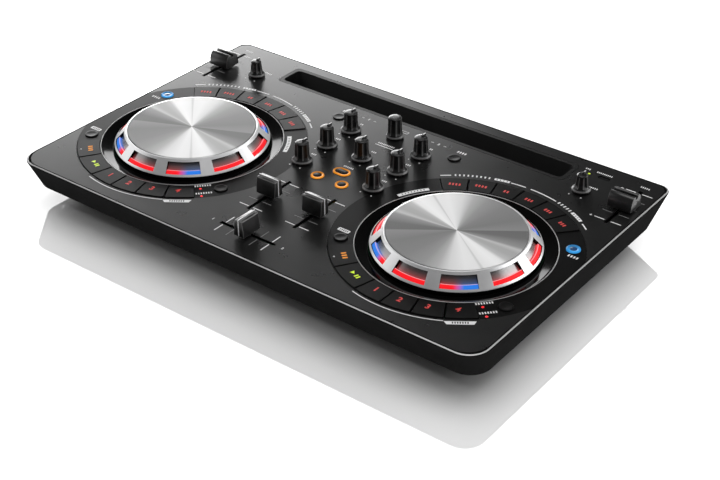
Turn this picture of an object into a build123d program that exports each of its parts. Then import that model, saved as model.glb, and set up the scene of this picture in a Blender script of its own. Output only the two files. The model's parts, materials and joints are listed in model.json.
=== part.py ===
from build123d import *
import math
import os

# A two-deck DJ controller: a wedge-sided case with two jog wheels, each ringed by keys, a mixer
# of knobs and faders between them, and a slot along the back that holds a tablet upright.
# Millimetres. X runs to the right, Y to the back, Z up. The origin is under the middle, on the floor.

os.makedirs("parts", exist_ok=True)

# Case
CASE_WIDTH = 403.0
CASE_DEPTH = 253.0
PANEL_TOP = 36.5            # working surface
SEAM_Z = 14.5               # lower edge of the flanks, where the two case halves meet
BASE_Z = 3.0                # underside, held off the floor by the feet
FRONT_CORNER = 16.0
REAR_CORNER = 8.5
WALL = 2.2
RIM_CHAMFER = 1.0
TUCK_SIDE, TUCK_FRONT, TUCK_REAR = 4.0, 8.5, 20.0          # how far the flanks lean in at the seam
BASE_SIDE, BASE_FRONT, BASE_REAR = 22.0, 24.5, 22.5        # and at the underside
CHAMFER_Z = PANEL_TOP - RIM_CHAMFER

# Deck under the panel, and the panel itself
PANEL_THICK = 1.5
PANEL_LOW = PANEL_TOP - PANEL_THICK
DECK_LOW = PANEL_LOW - 2.4
RECESS_INSET = 1.7
PANEL_INSET = 2.3
FIT_GAP = 0.3
DECK_WINDOWS = ((-38, 38, -18, 76), (-29, 29, -82, -25), (-30, 30, -105, -97))   # x, x, y, y under the mixer

# Decks: everything round is measured from the jog wheel's centre
JOG_X, JOG_Y = 119.5, -26.3
RING_R = 86.4
WELL_R = 68.0
WELL_LIP_R = 59.2
WELL_LIP_Z = PANEL_TOP - 2.1
JOG_R = 58.2
JOG_BEVEL_LOW = PANEL_TOP + 0.8
JOG_TOP_R = 49.1
JOG_BEVEL_TOP = PANEL_TOP + 10.2
JOG_PLATE_R = 47.66
JOG_PLATE_TOP = PANEL_TOP + 10.65
PLATE_LOW = 45.2
SPINDLE_R = 3.0
SPINDLE_BORE_R = 3.08
WINDOW_COUNT = 10
WINDOW_ARC = 26.0
WINDOW_IN_R, WINDOW_OUT_R = 50.5, 57.0
WINDOW_DEPTH = 2.4
JOG_SHELL = 3.6             # thickness of the bevelled wall, square to the bevel

# Keys round each jog wheel, as angles about its centre
KEY_IN_R, KEY_OUT_R = 69.0, 85.7
KEY_RISE = 0.6
KEY_GAP_DEG = 0.37
KEY_TRAVEL = 0.5
UPPER_KEYS_FROM, UPPER_KEY_ARC, UPPER_KEY_COUNT = 48.0, 14.0, 6
LOWER_KEYS = {
    "cue": (218.5, 236.7),
    "play": (236.7, 255.4),
    "pad_1": (255.4, 270.0),
    "pad_2": (270.0, 284.6),
    "pad_3": (284.6, 299.2),
    "pad_4": (299.2, 313.8),
}

# Boards and what stands on them
MAIN_BOARD_Z = 20.4
BOARD_THICK = 1.6
MAIN_BOARD_TOP = MAIN_BOARD_Z + BOARD_THICK
KEY_BOARD_Z = 29.0
KEY_BOARD_TOP = KEY_BOARD_Z + BOARD_THICK
REAR_BOARD_TOP = BASE_Z + WALL + 0.6 + BOARD_THICK
SWITCH_SIZE = 6.0
SWITCH_HIGH = 1.7
PRESS_ROOM = KEY_TRAVEL + 0.6                  # free height under a key or a button's stem
KEY_LOW = KEY_BOARD_TOP + SWITCH_HIGH + PRESS_ROOM
STEM_FOOT = MAIN_BOARD_TOP + SWITCH_HIGH + PRESS_ROOM

# Small round buttons
BUTTON_R = 4.9
BUTTON_RISE = 0.8
BUTTON_HOLE_R = BUTTON_R + FIT_GAP
SYNC_AT = (65.8, 41.3)      # from the jog centre of the right deck, mirrored on the left
SHIFT_AT = (-65.9, -40.8)   # the same way on both decks
MODE_AT = (65.8, -41.6)
LOAD_X, LOAD_Y = 53.6, 68.1
PHONES_CUE_X, PHONES_CUE_Y = 11.05, -11.7
SELECT_Y, SELECT_LENGTH, SELECT_WIDTH = 2.6, 13.8, 9.2
STANDBY_X, STANDBY_Y, STANDBY_LENGTH, STANDBY_WIDTH = 155.7, 108.9, 9.4, 3.5
STANDBY_SWITCH_Y = STANDBY_Y - 2.6             # keeps its switch on the board

# Knobs
EQ_X = 32.4
EQ_ROWS = {"high": 55.5, "mid": 26.4, "low": -2.8}
LEVEL_Y = 26.4
BROWSE_Y = 67.5
VOLUME_X, VOLUME_Y = 151.1, 83.8
KNOB_HIGH = 16.5
BROWSE_HIGH = 17.5
KNOB_SKIRT_R = 7.85
BROWSE_SKIRT_R = 6.7
KNOB_GRIP_R, KNOB_TOP_R = 5.6, 5.1
VOLUME_HIGH, VOLUME_SKIRT_R = 13.6, 6.9
VOLUME_GRIP_R, VOLUME_TOP_R = 4.8, 4.0
SHAFT_R = 3.0
SHAFT_BORE_R = 3.1
SHAFT_LOW = 25.0
SHAFT_HOLE_R = 3.8

# Faders: slot centres and the cap's travel each way
CHANNEL_X, CHANNEL_Y, CHANNEL_TRAVEL = 20.65, -53.5, 20.0
CROSS_Y, CROSS_TRAVEL = -101.0, 20.9
TEMPO_X, TEMPO_Y, TEMPO_TRAVEL = 185.6, 82.85, 22.5
SLOT_WIDTH = 2.8
SLOT_PLAY = 0.5
STEM_THICK, STEM_LONG = 1.8, 5.6
CHANNEL_HALF, CROSS_HALF, TEMPO_HALF = (travel + STEM_LONG / 2 + SLOT_PLAY
                                        for travel in (CHANNEL_TRAVEL, CROSS_TRAVEL, TEMPO_TRAVEL))
STEM_LOW = 28.0
CAP_LOW = 38.0
CAP_WIDE = 17.0
CAP_TOP = PANEL_TOP + 14.6
TEMPO_CAP_WIDE = 18.6
TEMPO_CAP_TOP = PANEL_TOP + 12.0

# Tablet slot
TRAY_HALF = 130.0
TRAY_FRONT, TRAY_BACK, TRAY_BACK_LOW = 91.2, 112.0, 103.0
TRAY_CORNER = 4.0
TRAY_FLOOR = 23.5
TRAY_WALL = 1.5
BEZEL_OUT = 3.0

# Rear pocket with its sockets, and the headphone jack in the left flank
POCKET_LEFT, POCKET_RIGHT = -80.0, 60.0
POCKET_LOW, POCKET_HIGH = 6.5, 19.5
POCKET_WALL_Y = 101.0
SOCKET_Z = 13.0
USB_X, USB_WIDE, USB_HIGH = 35.0, 12.0, 10.8
DC_X = 8.0
RCA_X = (-30.0, -48.0)
RCA_R = 4.1
JACK_Y, JACK_Z, JACK_BORE_R, JACK_R, JACK_LONG = -75.0, 25.5, 1.8, 3.2, 14.0

SCREWS_AT = [(x * side, y) for side in (-1, 1) for x, y in ((183, -103), (60, -104), (167, 99), (60, 80))]
BOSS_R = 4.0
SCREW_R = 1.5
SCREW_HEAD_R = 2.9
FEET_AT = [(x, y) for x in (-150, 0, 150) for y in (-85, 85)]
FOOT_R = 9.0

parts = {}


# ---- Shapes used again and again ----

def box(x_low, x_high, y_low, y_high, z_low, z_high):
    size = (x_high - x_low, y_high - y_low, z_high - z_low)
    middle = ((x_low + x_high) / 2, (y_low + y_high) / 2, (z_low + z_high) / 2)
    return Pos(*middle) * Box(*size)


def rod(x, y, radius, z_low, z_high):
    return Pos(x, y, (z_low + z_high) / 2) * Cylinder(radius, z_high - z_low)


def turned(edge, arc=360, start=0):
    """A solid turned about Z from (radius, height) points, through arc degrees from start."""
    profile = make_face(Polyline(*[(r, 0, z) for r, z in edge], close=True))
    return Rot(0, 0, start) * revolve(profile, Axis.Z, arc)


def stadium(x, y, length, width, z_low, z_high):
    sketch = Pos(x, y, z_low) * SlotOverall(length, width)
    return extrude(sketch, z_high - z_low)


def outline(z, side, front, rear, shrink=0.0):
    """The case's plan outline at height z, with its sides, front and rear leaning in."""
    left = -CASE_WIDTH / 2 + side + shrink
    low = -CASE_DEPTH / 2 + front + shrink
    high = CASE_DEPTH / 2 - rear - shrink
    plate = Pos(0, (low + high) / 2) * Rectangle(-2 * left, high - low)
    by_depth = plate.vertices().sort_by(Axis.Y)
    plate = fillet(by_depth[:2], FRONT_CORNER - shrink)
    plate = fillet(plate.vertices().sort_by(Axis.Y)[-2:], REAR_CORNER - shrink)
    return Pos(0, 0, z) * plate


def flank_section(z, shrink=0.0):
    lean = (CHAMFER_Z - z) / (CHAMFER_Z - SEAM_Z)
    return outline(z, TUCK_SIDE * lean, TUCK_FRONT * lean, TUCK_REAR * lean, shrink)


def base_section(z, shrink=0.0):
    part = (SEAM_Z - z) / (SEAM_Z - BASE_Z)
    insets = [a + (b - a) * part for a, b in
              ((TUCK_SIDE, BASE_SIDE), (TUCK_FRONT, BASE_FRONT), (TUCK_REAR, BASE_REAR))]
    return outline(z, *insets, shrink)


def stacked(*sections):
    """A solid with straight walls between one section and the next."""
    return loft([section.faces()[0] for section in sections], ruled=True)


def on_deck(side, x, y):
    """A place given from the jog centre of the left (-1) or right (1) deck."""
    return JOG_X * side + x, JOG_Y + y


def deck_places(side):
    """The round buttons that stand in a deck's ring."""
    return {
        "sync": on_deck(side, SYNC_AT[0] * side, SYNC_AT[1]),
        "shift": on_deck(side, *SHIFT_AT),
        "mode": on_deck(side, *MODE_AT),
    }


def key_sector(r_in, r_out, z_low, z_high, start, end, chamfer=0.0):
    edge = [(r_in, z_low), (r_out, z_low), (r_out, z_high - chamfer), (r_out - chamfer, z_high),
            (r_in + chamfer, z_high), (r_in, z_high - chamfer)]
    if chamfer == 0.0:
        edge = [(r_in, z_low), (r_out, z_low), (r_out, z_high), (r_in, z_high)]
    return turned(edge, end - start, start)


UPPER_END = UPPER_KEYS_FROM + UPPER_KEY_ARC * UPPER_KEY_COUNT
LOWER_START = LOWER_KEYS["cue"][0]
LOWER_END = LOWER_KEYS["pad_4"][1]
KEY_BANKS = ((UPPER_KEYS_FROM, UPPER_END), (LOWER_START, LOWER_END))

KNOBS_AT = {f"{side}_{row}_knob": (EQ_X * sign, y)
            for side, sign in (("left", -1), ("right", 1)) for row, y in EQ_ROWS.items()}
KNOBS_AT["level_knob"] = (0, LEVEL_Y)
KNOBS_AT["left_volume_knob"] = (-VOLUME_X, VOLUME_Y)
KNOBS_AT["right_volume_knob"] = (VOLUME_X, VOLUME_Y)
BROWSE_AT = (0, BROWSE_Y)

SIDES = (("left", -1), ("right", 1))


# ---- Case ----

def tray_section(z, shrink=0.0):
    """The tablet slot's plan at height z: its front wall is upright and its back wall slants."""
    rise = (z - TRAY_FLOOR) / (PANEL_TOP - TRAY_FLOOR)
    front = TRAY_FRONT - shrink
    back = TRAY_BACK_LOW + (TRAY_BACK - TRAY_BACK_LOW) * rise + shrink
    half = TRAY_HALF + shrink
    return Pos(0, (front + back) / 2, z) * RectangleRounded(2 * half, back - front, TRAY_CORNER)


def socket_cutouts(gap):
    through = (POCKET_WALL_Y - 8, POCKET_WALL_Y + 1)
    usb = box(USB_X - USB_WIDE / 2 - gap, USB_X + USB_WIDE / 2 + gap, *through,
              SOCKET_Z - USB_HIGH / 2 - gap, SOCKET_Z + USB_HIGH / 2 + gap)
    rounds = [Pos(x, POCKET_WALL_Y - 3, SOCKET_Z) * Rot(90, 0, 0) * Cylinder(radius + gap, 10)
              for x, radius in ((DC_X, 4.5), (RCA_X[0], 5.0), (RCA_X[1], 5.0))]
    return [usb] + rounds


def pocket_block():
    grow = WALL - 0.4
    return box(POCKET_LEFT - grow, POCKET_RIGHT + grow, POCKET_WALL_Y - grow, CASE_DEPTH / 2,
               POCKET_LOW - grow, POCKET_HIGH + grow)


POCKET_HOLLOW = box(POCKET_LEFT, POCKET_RIGHT, POCKET_WALL_Y, CASE_DEPTH, POCKET_LOW, POCKET_HIGH)


def key_bank_openings(r_in, r_out, z_low, z_high):
    return [Pos(JOG_X * sign, JOG_Y) * key_sector(r_in, r_out, z_low, z_high, start - 0.15, end + 0.15)
            for _, sign in SIDES for start, end in KEY_BANKS]


def make_top_case():
    shell = stacked(flank_section(SEAM_Z), flank_section(CHAMFER_Z),
                    outline(PANEL_TOP, RIM_CHAMFER, RIM_CHAMFER, RIM_CHAMFER))
    outside = shell
    shell -= stacked(flank_section(SEAM_Z, WALL), flank_section(DECK_LOW, WALL))
    shell -= extrude(outline(PANEL_LOW, RECESS_INSET, RECESS_INSET, RECESS_INSET), PANEL_THICK + 1)
    shell += pocket_block() & outside
    shell -= POCKET_HOLLOW
    for x, y in SCREWS_AT:
        shell += rod(x, y, BOSS_R, SEAM_Z, DECK_LOW)
    for _, sign in SIDES:
        for angle in (10, -12, 170, 192):
            turn = math.radians(angle)
            x, y = on_deck(sign, 76 * math.cos(turn), 76 * math.sin(turn))
            shell += rod(x, y, 2.5, KEY_BOARD_TOP, DECK_LOW)
    through = (DECK_LOW - 1, PANEL_LOW + 1)
    cuts = [stacked(tray_section(DECK_LOW - 1, TRAY_WALL + 0.2), tray_section(PANEL_TOP, TRAY_WALL + 0.2))]
    cuts += [box(*window, *through) for window in DECK_WINDOWS]
    cuts += key_bank_openings(60.0, 86.2, *through)
    for _, sign in SIDES:
        cuts.append(rod(JOG_X * sign, JOG_Y, WELL_R + 1, *through))
        cuts.append(box(TEMPO_X * sign - 4, TEMPO_X * sign + 4, TEMPO_Y - 28, TEMPO_Y + 27, *through))
        cuts.append(rod(VOLUME_X * sign, VOLUME_Y, 6, *through))
        cuts.append(rod(LOAD_X * sign, LOAD_Y, BUTTON_HOLE_R, *through))
        cuts += [rod(x, y, BUTTON_HOLE_R, *through) for x, y in deck_places(sign).values()]
    cuts.append(stadium(STANDBY_X, STANDBY_Y, STANDBY_LENGTH + 0.8, STANDBY_WIDTH + 0.8, *through))
    cuts.append(Pos(-CASE_WIDTH / 2, JACK_Y, JACK_Z) * Rot(0, 90, 0) * Cylinder(JACK_R + 0.1, 12))
    cuts += socket_cutouts(0.2)
    cuts += [rod(x, y, SCREW_R + 0.05, SEAM_Z, 26) for x, y in SCREWS_AT]
    for cut in cuts:
        shell -= cut
    return shell


def make_bottom_case():
    shell = stacked(base_section(BASE_Z), base_section(SEAM_Z))
    outside = shell
    shell -= stacked(base_section(BASE_Z + WALL, WALL), base_section(SEAM_Z, WALL))
    shell += pocket_block() & outside
    shell -= POCKET_HOLLOW
    for x, y in SCREWS_AT:
        # A boss near the sloping underside keeps within it.
        shell += rod(x, y, BOSS_R, BASE_Z, SEAM_Z) & outside
        shell -= rod(x, y, SCREW_R + 0.2, 0, SEAM_Z + 1)
        shell -= rod(x, y, SCREW_HEAD_R + 0.3, 0, screw_head_z(x, y) + 2.0)
    for cut in socket_cutouts(0.2):
        shell -= cut
    return shell


def screw_head_z(x, y):
    """The head sits in the underside, or in its slope near the case's edge."""
    return 8.5 if abs(x) > 175 or y < -95 else BASE_Z + 0.6


def make_panel():
    plate = extrude(outline(PANEL_LOW, PANEL_INSET, PANEL_INSET, PANEL_INSET), PANEL_THICK)
    through = (PANEL_LOW - 1, PANEL_TOP + 1)
    cuts = [stacked(tray_section(PANEL_LOW - 1, BEZEL_OUT + 0.3), tray_section(PANEL_TOP + 1, BEZEL_OUT + 0.3))]
    for _, sign in SIDES:
        cuts.append(rod(JOG_X * sign, JOG_Y, RING_R + 0.1, *through))
        cuts.append(rod(LOAD_X * sign, LOAD_Y, BUTTON_HOLE_R, *through))
        cuts.append(rod(PHONES_CUE_X * sign, PHONES_CUE_Y, BUTTON_HOLE_R, *through))
        cuts.append(fader_slot("y", CHANNEL_X * sign, CHANNEL_Y, CHANNEL_HALF, *through))
        cuts.append(fader_slot("y", TEMPO_X * sign, TEMPO_Y, TEMPO_HALF, *through))
    cuts.append(fader_slot("x", 0, CROSS_Y, CROSS_HALF, *through))
    cuts += [rod(x, y, SHAFT_HOLE_R, *through) for x, y in [*KNOBS_AT.values(), BROWSE_AT]]
    cuts.append(stadium(0, SELECT_Y, SELECT_LENGTH + 0.6, SELECT_WIDTH + 0.6, *through))
    cuts.append(stadium(STANDBY_X, STANDBY_Y, STANDBY_LENGTH + 0.6, STANDBY_WIDTH + 0.6, *through))
    for cut in cuts:
        plate -= cut
    return plate


def fader_slot(along, x, y, half, z_low, z_high):
    if along == "x":
        return box(x - half, x + half, y - SLOT_WIDTH / 2, y + SLOT_WIDTH / 2, z_low, z_high)
    return box(x - SLOT_WIDTH / 2, x + SLOT_WIDTH / 2, y - half, y + half, z_low, z_high)


def make_deck_ring(sign):
    """Flat ring with the dished well that the jog wheel turns in, cut off at the panel's edge."""
    ring = turned([(WELL_LIP_R, WELL_LIP_Z - PANEL_THICK), (WELL_LIP_R, WELL_LIP_Z), (WELL_R, PANEL_TOP),
                   (RING_R, PANEL_TOP), (RING_R, PANEL_LOW), (WELL_R + 0.7, PANEL_LOW)])
    ring = Pos(JOG_X * sign, JOG_Y) * ring
    ring &= extrude(outline(0, PANEL_INSET, PANEL_INSET, PANEL_INSET), PANEL_TOP + 1)
    for cut in key_bank_openings(KEY_IN_R - FIT_GAP, KEY_OUT_R + FIT_GAP, 30, PANEL_TOP + 1):
        ring -= cut
    for x, y in deck_places(sign).values():
        ring -= rod(x, y, BUTTON_HOLE_R, 30, PANEL_TOP + 1)
    return ring


def make_tray():
    rim_z = PANEL_TOP
    body = stacked(tray_section(TRAY_FLOOR - TRAY_WALL, TRAY_WALL), tray_section(rim_z, TRAY_WALL))
    body += stacked(tray_section(PANEL_LOW, BEZEL_OUT), tray_section(rim_z, BEZEL_OUT))
    return body - stacked(tray_section(TRAY_FLOOR), tray_section(rim_z))


# ---- Insides ----

def make_boards():
    """The main board, a board under each deck's keys and one behind the rear sockets."""
    main = box(-176, 176, -92, 86, MAIN_BOARD_Z, MAIN_BOARD_TOP)
    main += box(-40, 40, -108, -92, MAIN_BOARD_Z, MAIN_BOARD_TOP)
    for _, sign in SIDES:
        main += box(min(140 * sign, 192 * sign), max(140 * sign, 192 * sign), 52, 109.5,
                    MAIN_BOARD_Z, MAIN_BOARD_TOP)
        main -= rod(JOG_X * sign, JOG_Y, 8, MAIN_BOARD_Z - 1, MAIN_BOARD_TOP + 1)
    for x, y in SCREWS_AT:
        main -= rod(x, y, BOSS_R + 0.5, MAIN_BOARD_Z - 1, MAIN_BOARD_TOP + 1)
    boards = [main]
    for _, sign in SIDES:
        ring = Pos(JOG_X * sign, JOG_Y) * turned([(62, KEY_BOARD_Z), (91, KEY_BOARD_Z),
                                                  (91, KEY_BOARD_TOP), (62, KEY_BOARD_TOP)])
        boards.append(ring & box(min(42 * sign, 194 * sign), max(42 * sign, 194 * sign), -126, 126, 0, 60))
    boards.append(box(RCA_X[-1] - 8, USB_X + 12, 85, 97, BASE_Z + WALL + 0.6, REAR_BOARD_TOP))
    return Compound(children=[solid for board in boards for solid in board.solids()])


def switch(x, y, board_top):
    half = SWITCH_SIZE / 2
    return box(x - half, x + half, y - half, y + half, board_top, board_top + SWITCH_HIGH)


def make_switches():
    """One push switch under every key and button."""
    switches = []
    key_r = (KEY_IN_R + KEY_OUT_R) / 2
    upper = [UPPER_KEYS_FROM + UPPER_KEY_ARC * (k + 0.5) for k in range(UPPER_KEY_COUNT)]
    lower = [(start + end) / 2 for start, end in LOWER_KEYS.values()]
    for _, sign in SIDES:
        for angle in upper + lower:
            turn = math.radians(angle)
            place = on_deck(sign, key_r * math.cos(turn), key_r * math.sin(turn))
            switches.append(switch(*place, KEY_BOARD_TOP))
        switches += [switch(x, y, KEY_BOARD_TOP) for x, y in deck_places(sign).values()]
        switches.append(switch(LOAD_X * sign, LOAD_Y, MAIN_BOARD_TOP))
        switches.append(switch(PHONES_CUE_X * sign, PHONES_CUE_Y, MAIN_BOARD_TOP))
    switches.append(switch(0, SELECT_Y, MAIN_BOARD_TOP))
    switches.append(switch(STANDBY_X, STANDBY_SWITCH_Y, MAIN_BOARD_TOP))
    return Compound(children=switches)


def make_pots():
    """A potentiometer under each knob, and the encoder under the browse knob."""
    pots = []
    for x, y in [*KNOBS_AT.values(), BROWSE_AT]:
        pot = box(x - 5, x + 5, y - 5, y + 5, MAIN_BOARD_TOP, 28.5) + rod(x, y, 4.4, 28.5, 34)
        pots.append(pot - rod(x, y, SHAFT_BORE_R, SHAFT_LOW - 1, 35))
    return Compound(children=pots)


def make_tracks():
    """The slide potentiometers: long boxes with a groove that the fader stem runs in."""
    tracks = []
    lanes = [("x", 0, CROSS_Y, CROSS_HALF)]
    for _, sign in SIDES:
        lanes.append(("y", CHANNEL_X * sign, CHANNEL_Y, CHANNEL_HALF))
        lanes.append(("y", TEMPO_X * sign, TEMPO_Y, TEMPO_HALF))
    for along, x, y, half in lanes:
        reach_x, reach_y = (half + 1.5, 4.5) if along == "x" else (4.5, half + 1.5)
        body = box(x - reach_x, x + reach_x, y - reach_y, y + reach_y, MAIN_BOARD_TOP, 31)
        tracks.append(body - fader_slot(along, x, y, half, STEM_LOW - 1, 32))
    return Compound(children=tracks)


def make_spindles():
    """A turned post in the middle of each deck that its jog wheel spins on."""
    floor = BASE_Z + WALL
    profile = [(0, floor), (12, floor), (12, floor + 2), (5, floor + 2), (5, 37.4),
               (SPINDLE_R, 37.4), (SPINDLE_R, 42.5), (0, 42.5)]
    return Compound(children=[Pos(JOG_X * sign, JOG_Y) * turned(profile) for _, sign in SIDES])


def make_rear_sockets():
    """USB, power inlet and a pair of phono outputs, side by side on their own board."""
    board_top = REAR_BOARD_TOP
    front = POCKET_WALL_Y
    usb = box(USB_X - USB_WIDE / 2, USB_X + USB_WIDE / 2, front - 15, front + 0.5,
              SOCKET_Z - USB_HIGH / 2, SOCKET_Z + USB_HIGH / 2)
    usb -= box(USB_X - 4.25, USB_X + 4.25, front - 9, front + 1, SOCKET_Z - 3.9, SOCKET_Z + 3.9)
    along_y = Rot(-90, 0, 0)

    def barrel(x, radius, back, tip):
        return Pos(x, (back + tip) / 2, SOCKET_Z) * along_y * Cylinder(radius, tip - back)

    inlet = box(DC_X - 5, DC_X + 5, front - 14, front - 4, board_top, 18.5)
    inlet += barrel(DC_X, 4.5, front - 4, front + 0.4)
    inlet -= barrel(DC_X, 2.8, front - 9, front + 1)
    inlet += barrel(DC_X, 1.0, front - 9, front - 1)
    sockets = [usb, inlet]
    for x in RCA_X:
        phono = box(x - 5, x + 5, front - 14, front - 4, board_top, 18.5)
        phono += barrel(x, 5.0, front - 4, front + 0.4)
        phono += barrel(x, RCA_R, front, front + 9)
        sockets.append(phono - barrel(x, 1.6, front - 3, front + 10))
    return Compound(children=sockets)


def make_jack():
    """The stereo jack in the left flank, its mouth flush with the case."""
    mouth = -CASE_WIDTH / 2 + TUCK_SIDE * (CHAMFER_Z - JACK_Z) / (CHAMFER_Z - SEAM_Z)
    along_x = Rot(0, 90, 0)
    sleeve = Pos(mouth + JACK_LONG / 2, JACK_Y, JACK_Z) * along_x * Cylinder(JACK_R, JACK_LONG)
    body = box(mouth + JACK_LONG, mouth + JACK_LONG + 3, JACK_Y - 3.2, JACK_Y + 3.2, JACK_Z - 3.2, JACK_Z + 3.2)
    return sleeve + body - Pos(mouth + JACK_LONG / 2, JACK_Y, JACK_Z) * along_x * Cylinder(JACK_BORE_R, JACK_LONG)


def make_feet():
    pad = [(0, 0), (FOOT_R - 0.8, 0), (FOOT_R, 0.8), (FOOT_R, BASE_Z), (0, BASE_Z)]
    return Compound(children=[Pos(x, y) * turned(pad) for x, y in FEET_AT])


def make_screws():
    screws = []
    for x, y in SCREWS_AT:
        seat = screw_head_z(x, y) + 2.0
        head = rod(x, y, SCREW_HEAD_R, seat - 1.8, seat)
        head -= box(x - 0.5, x + 0.5, y - 1.8, y + 1.8, seat - 2, seat - 1)
        head -= box(x - 1.8, x + 1.8, y - 0.5, y + 0.5, seat - 2, seat - 1)
        screws.append(head + rod(x, y, SCREW_R, seat, 25))
    return Compound(children=screws)


# ---- What the hands move ----

def make_jog_wheel(sign):
    """Bevelled wheel with a ledge for the top plate, a web and a hub, and ten window recesses."""
    slope = (JOG_BEVEL_TOP - JOG_BEVEL_LOW) / (JOG_R - JOG_TOP_R)
    steep = math.hypot(1, slope)
    out_r, out_z = slope / steep, 1 / steep

    def on_bevel(radius, lift):
        height = JOG_BEVEL_LOW + (JOG_R - radius) * slope
        return radius + out_r * lift, height + out_z * lift

    web_low, web_top, skirt_low = 41.0, 43.0, 33.0
    inner_r = JOG_R - 3.0
    inside_low = on_bevel(JOG_R, -JOG_SHELL)
    inner_z = inside_low[1] + (inside_low[0] - inner_r) * slope
    web_r = inner_r - (web_low - inner_z) / slope
    ledge_r = JOG_PLATE_R + 0.3
    wheel = turned([(SPINDLE_BORE_R, 38), (8, 38), (8, web_low), (web_r, web_low), (inner_r, inner_z),
                    (inner_r, skirt_low), (JOG_R, skirt_low), (JOG_R, JOG_BEVEL_LOW),
                    (JOG_TOP_R, JOG_BEVEL_TOP), (ledge_r, JOG_BEVEL_TOP + 0.2), (ledge_r, PLATE_LOW),
                    (44, PLATE_LOW), (44, web_top), (SPINDLE_BORE_R, web_top)])

    recess = [on_bevel(WINDOW_OUT_R, -WINDOW_DEPTH), on_bevel(WINDOW_OUT_R, 1),
              on_bevel(WINDOW_IN_R, 1), on_bevel(WINDOW_IN_R, -WINDOW_DEPTH)]
    pitch = 360 / WINDOW_COUNT
    for k in range(WINDOW_COUNT):
        wheel -= turned(recess, WINDOW_ARC, (k + 0.5) * pitch - WINDOW_ARC / 2)
    return Pos(JOG_X * sign, JOG_Y) * wheel


def make_jog_plate(sign):
    edge = 0.35
    plate = turned([(0, PLATE_LOW), (JOG_PLATE_R, PLATE_LOW), (JOG_PLATE_R, JOG_PLATE_TOP - edge),
                    (JOG_PLATE_R - edge, JOG_PLATE_TOP), (0, JOG_PLATE_TOP)])
    return Pos(JOG_X * sign, JOG_Y) * plate


def make_key(sign, start, end):
    top = PANEL_TOP + KEY_RISE
    key = key_sector(KEY_IN_R, KEY_OUT_R, KEY_LOW, top, start + KEY_GAP_DEG / 2, end - KEY_GAP_DEG / 2, 0.3)
    return Pos(JOG_X * sign, JOG_Y) * key


def make_upper_keys(sign):
    keys = []
    for k in range(UPPER_KEY_COUNT):
        start = UPPER_KEYS_FROM + UPPER_KEY_ARC * k
        keys.append(make_key(sign, start, start + UPPER_KEY_ARC))
    return Compound(children=keys)


def make_button(x, y, low):
    top = PANEL_TOP + BUTTON_RISE
    edge = 0.4
    head = turned([(0, KEY_LOW), (BUTTON_R, KEY_LOW), (BUTTON_R, top - edge), (BUTTON_R - edge, top), (0, top)])
    button = Pos(x, y) * head
    if low < KEY_LOW:
        button += rod(x, y, 2.0, low, KEY_LOW)
    return button


def make_long_button(x, y, length, width, top):
    button = stadium(x, y, length, width, KEY_LOW, top)
    return button + rod(x, y, 1.6, STEM_FOOT, KEY_LOW)


def make_knob(x, y, high, skirt_r, grip_r=KNOB_GRIP_R, top_r=KNOB_TOP_R, pointer=True):
    foot = PANEL_TOP + 0.6
    top = PANEL_TOP + high
    knob = turned([(0, SHAFT_LOW), (SHAFT_R, SHAFT_LOW), (SHAFT_R, foot), (skirt_r, foot),
                   (skirt_r, foot + 1.5), (skirt_r - 0.7, foot + 2.3), (grip_r, foot + 3.6),
                   (top_r, top - 0.8), (top_r - 0.7, top), (0, top)])
    if pointer:
        knob += box(-0.7, 0.7, 0.8, top_r + 0.5, top - 3, top + 1.0)
    return Pos(x, y) * knob


def make_fader_cap(along, x, y):
    """A tall cap, thinner towards its top, with a rib over the middle and a stem into the slot."""
    foot, half = 4.5, CAP_WIDE / 2
    side = [(-foot, CAP_LOW), (foot, CAP_LOW), (3.2, CAP_TOP - 0.9), (0.9, CAP_TOP - 0.6), (0.6, CAP_TOP),
            (-0.6, CAP_TOP), (-0.9, CAP_TOP - 0.6), (-3.2, CAP_TOP - 0.9)]
    profile = make_face(Polyline(*[(-half, dy, z) for dy, z in side], close=True))
    cap = extrude(profile, CAP_WIDE, dir=(1, 0, 0))
    cap += box(-STEM_THICK / 2, STEM_THICK / 2, -STEM_LONG / 2, STEM_LONG / 2, STEM_LOW, CAP_LOW)
    turn = 90 if along == "x" else 0
    return Pos(x, y) * Rot(0, 0, turn) * cap


def make_tempo_cap(x, y):
    """A wide cap with two rounded ridges and a groove between them."""
    half, low, top = TEMPO_CAP_WIDE / 2, CAP_LOW, TEMPO_CAP_TOP
    reach, lip = 7.2, 1.2
    crest, groove = 3.0, 1.3

    def at(dy, z):
        return -half, dy, z

    edges = [Line(at(-reach, low), at(reach, low)), Line(at(reach, low), at(reach, low + lip)),
             ThreePointArc(at(reach, low + lip), at(6.0, top - 3.2), at(crest, top)),
             Line(at(crest, top), at(groove, top - 0.2)), Line(at(groove, top - 0.2), at(groove, top - 3)),
             Line(at(groove, top - 3), at(-groove, top - 3)), Line(at(-groove, top - 3), at(-groove, top - 0.2)),
             Line(at(-groove, top - 0.2), at(-crest, top)),
             ThreePointArc(at(-crest, top), at(-6.0, top - 3.2), at(-reach, low + lip)),
             Line(at(-reach, low + lip), at(-reach, low))]
    cap = extrude(make_face(edges), TEMPO_CAP_WIDE, dir=(1, 0, 0))
    cap += box(-STEM_THICK / 2, STEM_THICK / 2, -STEM_LONG / 2, STEM_LONG / 2, STEM_LOW, CAP_LOW)
    return Pos(x, y) * cap


# ---- Every piece, by name ----

parts["bottom_case"] = make_bottom_case()
parts["top_case"] = make_top_case()
parts["top_panel"] = make_panel()
parts["tablet_tray"] = make_tray()
parts["circuit_boards"] = make_boards()
parts["key_switches"] = make_switches()
parts["rotary_pots"] = make_pots()
parts["fader_tracks"] = make_tracks()
parts["jog_spindles"] = make_spindles()
parts["rear_sockets"] = make_rear_sockets()
parts["headphone_jack"] = make_jack()
parts["rubber_feet"] = make_feet()
parts["case_screws"] = make_screws()

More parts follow.
